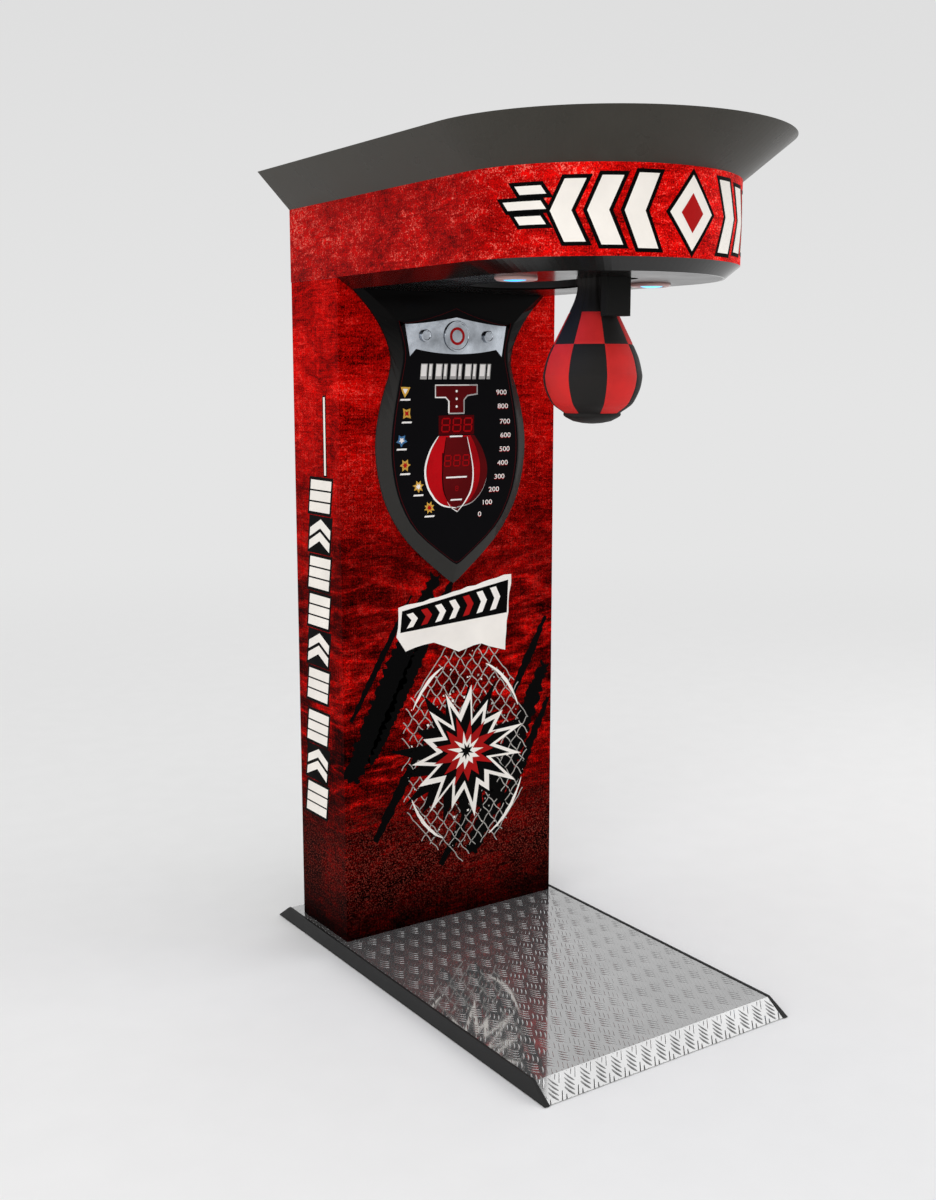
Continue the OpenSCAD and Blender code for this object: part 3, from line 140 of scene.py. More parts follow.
@dataclass(frozen=True)
class Finish:
    """A finish with its shader's own values and a fine relief left by how its surface was made."""

    name: str
    colour: str
    roughness: float = 0.5
    metallic: float = 0.0
    coat: float = 0.0
    relief_mm: float = 1.0
    relief: float = 0.05
    spread: float = 0.06
    ior: float = 1.5
    specular: float = 0.5
    patch_mm: float = 110.0

    def material(self) -> Material:
        """Return the finish's material, building it the first time.

        Returns:
            The material.
        """
        found = bpy.data.materials.get(self.name)
        if found:
            return found
        made = bpy.data.materials.new(self.name)
        made.use_nodes = True
        shader = made.node_tree.nodes["Principled BSDF"]
        values = {"Base Color": linear(self.colour), "Roughness": self.roughness, "Metallic": self.metallic,
                  "Coat Weight": self.coat, "Coat Roughness": 0.06}
        if not self.metallic:
            values |= {"IOR": self.ior, "Specular IOR Level": self.specular}
        for name, value in values.items():
            shader.inputs[name].default_value = value
        self.pattern(Graph(made.node_tree, shader))
        return made

    def pattern(self, graph: Graph) -> None:
        """Give the shader its colour variation, roughness variation and relief.

        Args:
            graph: The material's nodes.
        """
        cloud = graph.add("TexNoise", {"Vector": graph.place, "Scale": 1000 / self.patch_mm, "Detail": 5.0})
        self.vary(graph, cloud)
        grain = graph.add("TexNoise", {"Vector": graph.place, "Scale": 1000 / self.relief_mm, "Detail": 2.0})
        self.emboss(graph, grain)

    def vary(self, graph: Graph, amount: NodeSocket) -> None:
        """Spread the colour's value and the roughness a little round their typical values.

        Args:
            graph: The material's nodes.
            amount: Amount between zero and one that the values follow.
        """
        value = graph.add("MapRange", (amount, 0.3, 0.7, 1 - 2 * self.spread, 1 + 2 * self.spread))
        tint = graph.add("HueSaturation", {"Value": value, "Color": linear(self.colour)})
        graph.feed("Base Color", tint)
        rough = graph.add("MapRange", (amount, 0.3, 0.7, self.roughness * 0.82, self.roughness * 1.2))
        graph.feed("Roughness", rough)

    def emboss(self, graph: Graph, height: NodeSocket) -> None:
        """Give the shader a fine relief from a height between zero and one.

        Args:
            graph: The material's nodes.
            height: Height between zero and one.
        """
        bump = graph.add("Bump", {"Height": height, "Strength": min(1.0, self.relief * 4),
                                  "Distance": self.relief * MM})
        graph.feed("Normal", bump)


@dataclass(frozen=True)
class Brushed(Finish):
    """Metal with the fine parallel lines that a belt or a mill leaves along one direction."""

    along: Axis = Axis.X

    def pattern(self, graph: Graph) -> None:
        """Draw the lines as noise stretched along the brushing direction.

        Args:
            graph: The material's nodes.
        """
        lined = graph.add("Mapping", {"Vector": graph.place, "Scale": self.along.value})
        lines = graph.add("TexNoise", {"Vector": lined, "Scale": 1000 / self.relief_mm, "Detail": 3.0})
        self.vary(graph, lines)
        self.emboss(graph, lines)


@dataclass(frozen=True)
class ShadeGradedSheet(Finish):
    """Formed sheet with painted shade: darkest at its top, under the head, and paler towards its foot."""

    pale: str = "#353432"
    shade_span: tuple[float, float] = (1.66, 1.42)

    def pattern(self, graph: Graph) -> None:
        """Mix the sheet's colour towards the pale one down a band of heights in metres, so that its top stays dark as
        painted shade.

        Args:
            graph: The material's nodes.
        """
        super().pattern(graph)
        # Painted shade: zero at the top of the band, where the sheet keeps its dark colour, and one at its foot, where
        # it is pale
        thin = graph.add("MapRange", (graph.add("SeparateXYZ", (graph.place,), 2), *self.shade_span, 0.0, 1.0))
        deep = graph.end.inputs["Base Color"].links[0].from_socket
        mixed = graph.add("Mix", {0: thin, 6: deep, 7: linear(self.pale)}, 2, data_type="RGBA")
        graph.feed("Base Color", mixed)


@dataclass(frozen=True)
class PrintedFilm(Finish):
    """Printed film on raw board: a worn red ground with bright folds, fading to black towards the floor."""

    contrast: float = 4.0
    weave: float = 0.2
    fold: float = 0.0
    scratch: float = 0.3
    # Share of the brightness left at the machine's left end, as painted shade; one means no shade
    painted_shade_end: float = 1.0
    board: str = "#7d5f40"
    scratch_colour: str = "#ff9a86"
    speck_colour: str = "#8c382e"

    def ground(self, graph: Graph) -> NodeSocket:
        """Sum layers of noise: clouds, wavy bands, both directions of the weave, and grain.

        Args:
            graph: The material's nodes.

        Returns:
            The ground's brightness.
        """
        gain = 1.9
        layers = (((3.6, 3.6, 4.4), 4.0, 0.6, 0.62, 0.6), ((11.0, 11.0, 34.0), 6.0, 0.7, 0.62, 1.6),
                  ((16.0, 16.0, 360.0), 2.0, 0.6, self.weave, 0.0), ((360.0, 360.0, 8.0), 2.0, 0.6, self.weave, 0.0),
                  ((330.0, 330.0, 330.0), 3.0, 0.8, 1.0, 0.0))
        total: float | NodeSocket = 0.5 - gain * 0.5 * sum(layer[3] for layer in layers)
        for scale, detail, rough, share, bend in layers:
            noise = self.noise(graph, scale, detail, rough, bend)
            total = graph.add("Math", (noise, gain * share, total), operation="MULTIPLY_ADD")
        return total

    def noise(self, graph: Graph, scale: Point, detail: float, rough: float, bend: float) -> NodeSocket:
        """Draw noise that is scaled differently along each axis.

        Args:
            graph: The material's nodes.
            scale: Cells to a metre along X, Y and Z.
            detail: Octaves of finer noise.
            rough: Strength of each finer octave.
            bend: How much the noise bends itself.

        Returns:
            The noise.
        """
        stretched = graph.add("Mapping", {"Vector": graph.place, "Scale": scale})
        return graph.add("TexNoise", {"Vector": stretched, "Scale": 1.0, "Detail": detail, "Roughness": rough,
                                      "Distortion": bend})

    def peak(self, graph: Graph, amount: NodeSocket, near: float, far: float, most: float) -> NodeSocket:
        """Turn an amount into a share that is greatest round a half and falls to zero on both sides.

        Args:
            graph: The material's nodes.
            amount: The amount.
            near: Distance from a half up to which the share is greatest.
            far: Distance from a half at which it is zero.
            most: The greatest share.

        Returns:
            The share.
        """
        off = graph.add("Math", (amount, 0.5), operation="SUBTRACT")
        off = graph.add("Math", (off,), operation="ABSOLUTE")
        return graph.add("MapRange", (off, near, far, most, 0.0))

    def folded(self, graph: Graph, level: NodeSocket, value: NodeSocket) -> NodeSocket:
        """Brighten the ground along the folds of a draped noise, in a band of heights round the middle.

        Args:
            graph: The material's nodes.
            level: Share of the height up to which the print fades.
            value: The ground's brightness.

        Returns:
            The brightness with its folds.
        """
        drape = self.noise(graph, (3.4, 3.4, 13.0), 2.5, 0.5, 0.7)
        crest = self.peak(graph, drape, 0.0, 0.09, self.fold)
        band = self.peak(graph, level, 0.14, 0.34, 1.0)
        return graph.add("Math", (crest, band, value), operation="MULTIPLY_ADD")

    def climb(self, graph: Graph, level: NodeSocket) -> NodeSocket:
        """Give the print's brightness at each height, dark at the floor.

        Args:
            graph: The material's nodes.
            level: Share of the height up to which the print fades.

        Returns:
            The brightness at each height.
        """
        share = graph.add("ValToRGB", (level,))
        for at, bright in ((0.05, 0.012), (0.14, 0.03), (0.27, 0.08), (0.5, 0.14), (0.7, 0.17), (0.85, 0.5)):
            share.node.color_ramp.elements.new(at).color = (bright, bright, bright, 1.0)
        return share

    def scratches(self, graph: Graph, value: NodeSocket, climb: NodeSocket) -> NodeSocket:
        """Find the thin scratches, on the bright parts of the ground only.

        Args:
            graph: The material's nodes.
            value: The ground's brightness.
            climb: The print's brightness at its height.

        Returns:
            Their mask.
        """
        wave = graph.add("TexNoise", {"Vector": graph.place, "Scale": 46.0, "Detail": 6.0, "Roughness": 0.65,
                                      "Distortion": 0.8})
        ridge = graph.add("Math", (wave, 0.5, 0.02), operation="COMPARE")
        patch = graph.add("MapRange", (value, 0.55, 0.95, 0.0, self.scratch))
        mask = graph.add("Math", (ridge, patch), operation="MULTIPLY")
        return graph.add("Math", (mask, climb), operation="MULTIPLY")

    def specks(self, graph: Graph, level: NodeSocket) -> NodeSocket:
        """Find the fine specks in a band of heights above the floor.

        Args:
            graph: The material's nodes.
            level: Share of the height up to which the print fades.

        Returns:
            Their mask.
        """
        speck = graph.add("TexNoise", {"Vector": graph.place, "Scale": 250.0, "Detail": 1.0})
        speck = graph.add("MapRange", (speck, 0.53, 0.65, 0.0, 0.85))
        low = graph.add("MapRange", (level, 0.3, 0.13, 0.0, 1.0))
        last = graph.add("MapRange", (level, 0.04, 0.17, 0.06, 1.0))
        low = graph.add("Math", (low, last), operation="MULTIPLY")
        return graph.add("Math", (speck, low), operation="MULTIPLY")

    def outward(self, graph: Graph, hand: NodeSocket) -> NodeSocket:
        """Tell the printed faces, which look outwards or forwards, from the raw ones.

        Args:
            graph: The material's nodes.
            hand: Side of the machine, -1 or 1.

        Returns:
            One on printed faces and zero on raw ones.
        """
        facing = graph.add("SeparateXYZ", (graph.coords["Normal"],)).node.outputs
        aside = graph.add("Math", (hand, facing[0]), operation="MULTIPLY")
        ahead = graph.add("Math", (facing[1], -1.0), operation="MULTIPLY")
        either = graph.add("Math", (aside, ahead), operation="MAXIMUM")
        return graph.add("Math", (either, 0.2), operation="GREATER_THAN")

    def pattern(self, graph: Graph) -> None:
        """Fade the ground by its height, darken it towards the machine's left end as painted shade, lay scratches and
        specks over it, and leave the inner faces raw.

        Args:
            graph: The material's nodes.
        """
        spot = graph.add("SeparateXYZ", (graph.place,)).node.outputs
        level = graph.add("MapRange", (spot[2], 0.0, 1.5, 0.0, 1.0))
        value = self.folded(graph, level, self.ground(graph))
        power = graph.add("MapRange", (level, 0.0, 1.0, self.contrast, 1.15))
        doubled = graph.add("Math", (value, 2.0), operation="MULTIPLY")
        positive = graph.add("Math", (doubled, 0.02), operation="MAXIMUM")
        texture = graph.add("Math", (positive, power), operation="POWER")
        climb = self.climb(graph, level)
        # Painted shade: the print darkens towards the machine's left end, down to the film's end share
        end = graph.add("MapRange", (spot[0], -0.38, -0.2, self.painted_shade_end, 1.0))
        shade = graph.add("Math", (climb, end), operation="MULTIPLY")
        bright = graph.add("Math", (texture, shade), operation="MULTIPLY")
        worn = graph.add("HueSaturation", {"Value": bright, "Color": linear(self.colour)})
        for mask, colour in ((self.scratches(graph, value, climb), self.scratch_colour),
                             (self.specks(graph, level), self.speck_colour)):
            worn = graph.add("Mix", {0: mask, 6: worn, 7: linear(colour)}, 2, data_type="RGBA")
        printed = self.outward(graph, graph.add("Math", (spot[0],), operation="SIGN"))
        shown = graph.add("Mix", {0: printed, 6: linear(self.board), 7: worn}, 2, data_type="RGBA")
        graph.feed("Base Color", shown)
        rough = graph.add("MapRange", (value, 0.0, 1.0, self.roughness * 0.85, self.roughness * 1.15))
        graph.feed("Roughness", rough)


@dataclass(frozen=True)
class PanelLeather(Finish):
    """Dyed leather with fine grain and soft creases."""

    def pattern(self, graph: Graph) -> None:
        """Draw grain cells about 1.5 mm across and soft wear that lightens the dye.

        Args:
            graph: The material's nodes.
        """
        cells = graph.add("TexVoronoi", {"Vector": graph.place, "Scale": 700.0, "Randomness": 1.0})
        crease = graph.add("TexNoise", {"Vector": graph.place, "Scale": 60.0, "Detail": 6.0, "Roughness": 0.6})
        self.vary(graph, graph.add("TexNoise", {"Vector": graph.place, "Scale": 14.0, "Detail": 3.0}))
        self.emboss(graph, graph.add("Math", (cells, crease), operation="MULTIPLY"))


@dataclass(frozen=True)
class Glow(Finish):
    """Clear plastic lit from behind, brightest in the middle of each of its cells."""

    strength: float = 1.0
    cell_mm: float = 6.0

    def pattern(self, graph: Graph) -> None:
        """Light the lens with a diode pattern of the lens's own pitch.

        Args:
            graph: The material's nodes.
        """
        cells = graph.add("TexVoronoi", {"Vector": graph.place, "Scale": 1000 / self.cell_mm, "Randomness": 0.0})
        shine = graph.add("MapRange", (cells, 0.0, 0.7, 1.0, 0.72))
        tint = graph.add("HueSaturation", {"Value": shine, "Color": linear(self.colour)})
        graph.feed("Base Color", tint)
        graph.feed("Emission Color", tint)
        graph.end.inputs["Emission Strength"].default_value = self.strength
        self.emboss(graph, cells)


# Chequer plate: rolled steel left bright under a thin bloom of dust, so its mirror is veiled with grey
TREAD = Finish("bright_rolled_steel", "#c4c4c4", 0.05, 0.86, relief_mm=60, relief=0.02, spread=0.03)
# Polyester powder coat on steel: black, satin, with the faint orange peel of a baked coat
BLACK_COAT = Finish("black_powder_coat", "#242424", 0.5, relief_mm=2.5, relief=0.06, specular=0.2)
# The same coat in dark grey on the frame's tubes
GREY_COAT = Finish("grey_powder_coat", "#45474a", 0.45, relief_mm=2.5, relief=0.06)
# Vacuum formed ABS: dark warm grey with slow forming waves
ABS_GREY = Finish("warm_grey_abs", "#3f3d38", 0.3, relief_mm=90, relief=0.03, spread=0.03, specular=0.1)
# The head's underside takes a near-black, glossier copy of the crown's sheet: painted shade where it faces down, and
# it mirrors what hangs under it
ABS_SHADED_GLOSS = Finish("glossy_dark_abs", "#0d0c0b", 0.18, relief_mm=90, relief=0.02, spread=0.03, ior=1.33, specular=0.1)
# The skirt round it is the same near-black copy with its full gloss, also painted shade
ABS_SHADED_SKIRT = Finish("dark_skirt_abs", "#0f0e0d", 0.12, relief_mm=90, relief=0.02, spread=0.03, ior=1.49)
# The display housing is the same forming in black, with painted shade: black at its top under the head, paler lower
# down
ABS_BLACK = ShadeGradedSheet("glossy_black_abs", "#0b0a0a", 0.14, relief_mm=90, relief=0.03, spread=0.03, specular=0.04)
# Printed and laminated vinyl film on board, and the brighter print round the head, darkened towards its left end as
# painted shade
FILM = PrintedFilm("printed_vinyl_film", "#b80704", ior=1.25, specular=0.02, contrast=4.6, weave=0.27, fold=0.4)
HEAD_FILM = PrintedFilm("printed_head_film", "#dc0805", specular=0.02, contrast=1.15, weave=0.17, scratch=0.95,
                        painted_shade_end=0.42, board="#8d8f91")
# Melamine laminate with a fine pebbled press plate texture
LAMINATE = Finish("dark_melamine_laminate", "#29292b", relief_mm=1.6, relief=0.12)
# Rotary cut birch with its stretched grain
PLYWOOD = Brushed("birch_plywood", "#a8835a", 0.65, relief_mm=2.0, relief=0.06, spread=0.12, along=Axis.Y)
# Tyres, pads and stop, and the bay's padding
RUBBER = Finish("moulded_rubber", "#191919", 0.75, relief_mm=1.2, relief=0.08, ior=1.52)
FOAM = Finish("closed_cell_foam", "#262628", 0.9, relief_mm=2.5, relief=0.3)
# Zinc plate: dull bright metal with cloudy patches
ZINC = Finish("zinc_plated_steel", "#a9abad", 0.36, 1.0, relief_mm=5.0, relief=0.02, spread=0.08)
# Worked metals, each with the lines of its own machining
STAINLESS = Brushed("brushed_stainless_steel", "#b9bbbd", 0.28, 1.0, relief_mm=0.6, relief=0.03, along=Axis.Z)
GROUND = Brushed("ground_shaft_steel", "#c6c8ca", 0.18, 1.0, relief_mm=0.6, relief=0.02, along=Axis.Y)
MACHINED = Brushed("machined_steel", "#8f9194", 0.32, 1.0, relief=0.04, along=Axis.Z)
BRONZE = Brushed("machined_bronze", "#b98a44", 0.3, 1.0, relief=0.04, along=Axis.Z)
SATIN = Brushed("satin_aluminium", "#b4b7ba", 0.3, 1.0, relief_mm=0.8, relief=0.03, along=Axis.Z)
# Sand cast flanges under paint
IRON = Finish("painted_cast_iron", "#34363a", 0.55, relief_mm=3.0, relief=0.25)
# Hard anodised aluminium: nearly black and matt, it scatters light evenly
ANODISED = Brushed("black_anodised_aluminium", "#151514", 0.45, relief_mm=0.8, relief=0.03, specular=0.08,
                   along=Axis.Z)
# Moulded and enamelled parts of the bought pieces
NYLON = Finish("black_moulded_nylon", "#1a1a1b", 0.48, relief=0.08)
COIL = Finish("blue_coil_enamel", "#29456f", 0.35, relief_mm=3.0, relief=0.04)
RED_BUTTON = Finish("red_moulded_button", "#a81b15", 0.2, relief_mm=30, relief=0.02)
CIRCUIT = Finish("green_solder_mask", "#15502c", 0.3, relief_mm=0.8, relief=0.06, spread=0.1)
# Back printed acrylic: deep black or red under a clear gloss
ACRYLIC = Finish("black_printed_acrylic", "#070608", 0.05, relief_mm=200, relief=0.01, ior=1.49, specular=0.04)
LAMP_ACRYLIC = Finish("red_printed_acrylic", "#a3080f", 0.08, relief_mm=200, relief=0.01, spread=0.2, ior=1.49,
                      specular=0.03)
DISPLAY_ACRYLIC = Finish("smoked_red_acrylic", "#4a0407", 0.07, relief_mm=200, relief=0.01, ior=1.49, specular=0.02)
# Polished aluminium plate, its mirror broken by soft hammered waves, and its colour painted lighter and darker in
# broad patches as painted highlights and reflections
CREST = Finish("polished_hammered_plate", "#bcc2ca", 0.2, 1.0, relief_mm=34, relief=1.9, spread=0.25, patch_mm=80)
# Downlights: pearly bezel and lit lens; displays: faintly lit segments
RING = Finish("pearl_pink_bezel", "#c29a95", 0.3, coat=0.2, relief_mm=40, relief=0.01)
LENS = Glow("cyan_lit_lens", "#3fb9fa", 0.2, strength=1.9, cell_mm=7.0)
SEGMENT = Glow("red_lit_segment", "#a5060c", 0.3, specular=0.02, strength=0.1, cell_mm=1.5)
# Screen printed inks on film and acrylic; on the lamp the white and grey inks also lay painted highlights, and the
# black and deep red inks painted shade
WHITE_INK = Finish("white_screen_ink", "#f4eee6", 0.42, spread=0.03, specular=0.2)
BLACK_INK = Finish("black_screen_ink", "#060606", spread=0.03, specular=0.02)
RED_INK = Finish("red_screen_ink", "#a81010", 0.4, spread=0.1, specular=0.05)
GREY_INK = Finish("grey_screen_ink", "#a7a39d", 0.45, spread=0.1)
DARK_RED_INK = Finish("deep_red_screen_ink", "#560609", 0.4, spread=0.1, specular=0.03)
YELLOW_INK = Finish("yellow_screen_ink", "#c9982a", 0.4, spread=0.1)
BLUE_INK = Finish("blue_screen_ink", "#2f6b9a", 0.4, spread=0.1)
# Dyed leather of the bag
RED_LEATHER = PanelLeather("red_dyed_leather", "#d02927", 0.6, relief=0.22, specular=0.15)
BLACK_LEATHER = PanelLeather("black_dyed_leather", "#201e1d", 0.6, relief=0.22, specular=0.15)

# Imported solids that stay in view, by their finish
DRESSED = {
    GREY_COAT: "base_frame column_floor column_frame head_frame", BLACK_COAT: "side_plate_left side_plate_right",
    RUBBER: "floor_pads wheel_left wheel_right front_stop", FOAM: "bay_bumper", TREAD: "tread_plate",
    ZINC: "wheel_brackets door_hinges door_lock_barrel door_lock_plug cash_box coin_chute latch_bracket",
    FILM: "column_front column_side_left column_side_right", HEAD_FILM: "fascia", RED_BUTTON: "reject_button",
    LAMINATE: "rear_panel service_door crown_cover", PLYWOOD: "head_base_board head_struts",
    NYLON: "mains_inlet rocker_switch speaker coin_validator bay_liner speed_sensor", CIRCUIT: "control_board",
    SATIN: "power_supply speed_disc", STAINLESS: "coin_plate coin_flap", GROUND: "swing_shaft solenoid_plunger",
    IRON: "shaft_bearings", ANODISED: "swing_arm", MACHINED: "latch_crank", BRONZE: "latch_pawl",
    COIL: "solenoid_body", ABS_SHADED_SKIRT: "skirt", ABS_SHADED_GLOSS: "underside_panel", ABS_GREY: "crown",
    ABS_BLACK: "shield_housing", RING: "light_rings", LENS: "light_lenses", ACRYLIC: "shield_panel",
    CREST: "shield_crest", DISPLAY_ACRYLIC: "digit_displays", LAMP_ACRYLIC: "lamp_lens",
}


class Face(Enum):
    """Side of the machine that a flat piece is laid on: its turn about the upright, in degrees."""

    FRONT = 0.0
    RIGHT = 90.0
    LEFT = -90.0


def clear() -> None:
    """Leave edit mode and deselect everything, so that an operator acts only on what comes next."""
    if bpy.context.object and bpy.context.object.mode != "OBJECT":
        bpy.ops.object.mode_set(mode="OBJECT")
    bpy.ops.object.select_all(action="DESELECT")


def choose(*pieces: Object) -> None:
    """Select the pieces alone and make the first one active.

    Args:
        pieces: The pieces, the first of which becomes active.
    """
    clear()
    for piece in pieces:
        piece.select_set(True)
    bpy.context.view_layer.objects.active = pieces[0]


@contextmanager
def editing(piece: Object) -> Iterator[None]:
    """Hold a piece in edit mode, with all of its mesh selected.

    Args:
        piece: The piece.

    Returns:
        The block's context.
    """
    choose(piece)
    bpy.ops.object.mode_set(mode="EDIT")
    bpy.ops.mesh.select_all(action="SELECT")
    yield
    bpy.ops.object.mode_set(mode="OBJECT")


def applied(piece: Object) -> Object:
    """Apply a piece's place, turn and size.

    Args:
        piece: The piece.

    Returns:
        The piece.
    """
    choose(piece)
    bpy.ops.object.transform_apply(location=True, rotation=True, scale=True)
    return piece


def cut_off(place: Point, normal: Point) -> None:
    """Cut off what lies beyond a plane in the mesh being edited, and close it; its place is in millimetres."""
    bpy.ops.mesh.select_all(action="SELECT")
    bpy.ops.mesh.bisect(plane_co=(place[0] * MM, place[1] * MM, 0), plane_no=normal, use_fill=True, clear_outer=True)


def bevelled(piece: Object, offset: float) -> Object:
    """Round a plate's edges by an offset in millimetres, and return it.

    Args:
        piece: The plate.
        offset: The offset in millimetres.

    Returns:
        The piece.
    """
    with editing(piece):
        bpy.ops.mesh.bevel(offset=offset * MM, segments=2)
    return piece


def joined(pieces: Sequence[Object]) -> Object:
    """Join pieces into the first one and return it.

    Args:
        pieces: The pieces, all left in the first one.

    Returns:
        The joined piece.
    """
    choose(*pieces)
    if len(pieces) > 1:
        bpy.ops.object.join()
    return bpy.context.object


def copied(piece: Object, place: Point = (0, 0, 0), turn: Point = (0, 0, 0)) -> Object:
    """Copy a piece with its own mesh.

    Args:
        piece: The piece to copy.
        place: Where the copy goes, in millimetres.
        turn: The copy's turn about X, Y and Z, in degrees.

    Returns:
        The copy, not yet applied.
    """
    twin = piece.copy()
    twin.data = piece.data.copy()
    bpy.context.scene.collection.objects.link(twin)
    twin.location = [c * MM for c in place]
    twin.rotation_euler = radians(turn)
    return twin


def dropped(piece: Object) -> None:
    """Remove a pattern piece that only its copies needed."""
    bpy.data.objects.remove(piece, do_unlink=True)


def repeated(model: Object, places: Line, turn: Point = (0, 0, 0)) -> Object:
    """Copy a pattern piece to its places in millimetres, remove it and return the joined copies.

    Args:
        model: The pattern piece.
        places: Its places in millimetres.
        turn: The copies' turn about X, Y and Z, in degrees.

    Returns:
        The joined copies.
    """
    copies = [copied(model, place, turn) for place in places]
    dropped(model)
    return joined(copies)


def settle(piece: Object, name: str, finishes: Finish | Sequence[Finish], smooth: float = 0.0,
           body: str = "cabinet") -> None:
    """Apply a piece's place, close its skin and give it its name, finish and body.

    Args:
        piece: The piece as modelled.
        name: Its name.
        finishes: Its finish, or the finishes of its material slots.
        smooth: Angle in degrees under which edges are shaded smooth, or zero.
        body: The body that it rides on.
    """
    with editing(applied(piece)):
        bpy.ops.mesh.remove_doubles(threshold=MERGE)
        bpy.ops.mesh.normals_make_consistent(inside=False)
    if smooth:
        bpy.ops.object.shade_smooth_by_angle(angle=math.radians(smooth))
    piece.name = piece.data.name = name
    piece.data.materials.clear()
    for finish in [finishes] if isinstance(finishes, Finish) else finishes:
        piece.data.materials.append(finish.material())
    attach(piece, body)
    log.info("%s: %d faces on %s", name, len(piece.data.polygons), body)


def shaped(piece: Object, kind: str, **settings: Any) -> Object:
    """Add a modifier with its settings to a piece and apply it.

    Args:
        piece: The piece.
        kind: The modifier's type.
        settings: Attributes of the modifier.

    Returns:
        The piece.
    """
    choose(piece)
    modifier = piece.modifiers.new(kind.lower(), kind)
    for key, value in settings.items():
        setattr(modifier, key, value)
    bpy.ops.object.modifier_apply(modifier=modifier.name)
    return piece


def lathe(profile: Line, sides: int = 48, place: Point = (0, 0, 0), turn: Point = (0, 0, 0)) -> Object:
    """Turn a closed solid from a ring that is extruded and resized along its profile.

    Args:
        profile: Radius and height in millimetres, from one end to the other.
        sides: Number of sides of each ring.
        place: Where the profile's origin goes, in millimetres.
        turn: The turn about X, Y and Z, in degrees.

    Returns:
        The closed solid.
    """
    clear()
    (radius, level), *rest = profile
    bpy.ops.mesh.primitive_circle_add(vertices=sides, radius=radius * MM, fill_type="NGON",
                                      location=(0, 0, level * MM))
    piece = applied(bpy.context.object)
    with editing(piece):
        for r, z in rest:
            bpy.ops.mesh.extrude_region_move(TRANSFORM_OT_translate={"value": (0, 0, (z - level) * MM)})
            bpy.ops.transform.resize(value=(r / radius, r / radius, 1.0), center_override=(0, 0, z * MM))
            radius, level = r, z
        bpy.ops.mesh.select_all(action="SELECT")
        bpy.ops.mesh.normals_make_consistent(inside=False)
    piece.location = [c * MM for c in place]
    piece.rotation_euler = radians(turn)
    return piece


def raised(thick: float) -> Object:
    """Turn the active curve or text into a mesh that rises from its plane, and return it.

    Args:
        thick: The plate's thickness in millimetres.

    Returns:
        The mesh.
    """
    bpy.ops.object.convert(target="MESH")
    piece = bpy.context.object
    piece.data.transform(Matrix.Translation((0, 0, thick * MM / 2)))
    return piece


def drawn(loops: Sequence[Line], thick: float) -> Object:
    """Cut a flat plate from closed outlines, in the XY plane; an outline inside another is a hole.

    Args:
        loops: Outlines in millimetres.
        thick: Thickness in millimetres, upwards from the plane.

    Returns:
        The plate.
    """
    clear()
    bpy.ops.curve.primitive_bezier_circle_add(location=(0, 0, 0))
    piece = bpy.context.object
    curve = piece.data
    curve.splines.clear()
    curve.dimensions = "2D"
    curve.fill_mode = "BOTH"
    curve.extrude = thick * MM / 2
    for loop in loops:
        spline = curve.splines.new("POLY")
        spline.points.add(len(loop) - 1)
        for point, (u, v) in zip(spline.points, loop):
            point.co = (u * MM, v * MM, 0.0, 1.0)
        spline.use_cyclic_u = True
    choose(piece)
    return raised(thick)


def typed(text: str, size: float, thick: float) -> Object:
    """Cut a plain number as a flat plate centred on the origin, in the XY plane.

    Args:
        text: The number.
        size: Height of a line in millimetres.
        thick: Thickness in millimetres.

    Returns:
        The plate.
    """
    clear()
    bpy.ops.object.text_add(location=(0, 0, 0))
    letters = bpy.context.object.data
    letters.body = text
    letters.size = size * MM
    letters.align_x = letters.align_y = "CENTER"
    letters.extrude = thick * MM / 2
    return raised(thick)


def stand(piece: Object, face: Face, place: Point) -> Object:
    """Stand a flat plate on a side of the machine.

    Args:
        piece: A plate drawn in the XY plane.
        face: The side that it faces.
        place: Where its origin goes, in millimetres.

    Returns:
        The piece, placed and applied.
    """
    piece.matrix_world = (Matrix.Translation(Vector(place) * MM) @ Matrix.Rotation(math.radians(face.value), 4, "Z")
                          @ Matrix.Rotation(math.radians(90), 4, "X"))
    return applied(piece)


def grown(loop: Line, by: float) -> Outline:
    """Move a counterclockwise outline outwards, with its corners mitred.

    Args:
        loop: The outline's points.
        by: Distance outwards; a negative one moves inwards.

    Returns:
        The moved outline.
    """
    out = []
    count = len(loop)
    for i, here in enumerate(loop):
        before, after = Vector(loop[i - 1]), Vector(loop[(i + 1) % count])
        here = Vector(here)
        n1 = Vector(((here - before).y, -(here - before).x)).normalized()
        n2 = Vector(((after - here).y, -(after - here).x)).normalized()
        share = max(SHARPEST, 1 + n1.dot(n2))
        out.append(tuple(here + (n1 + n2) * (by / share)))
    return out


def curve_through(points: Line, steps: int) -> Outline:
    """Smooth line through points, with a number of steps between each two.

    Args:
        points: The points.
        steps: Number of steps between each two.

    Returns:
        The line's points.
    """
    out = []
    last = len(points) - 1
    for i in range(last):
        p0, p1, p2, p3 = (Vector(points[min(max(k, 0), last)]) for k in (i - 1, i, i + 1, i + 2))
        for k in range(steps):
            t = k / steps
            out.append(tuple(0.5 * (2 * p1 + (p2 - p0) * t + (2 * p0 - 5 * p1 + 4 * p2 - p3) * t * t
                                    + (3 * p1 - 3 * p2 + p3 - p0) * t * t * t)))
    return out + [tuple(points[last])]


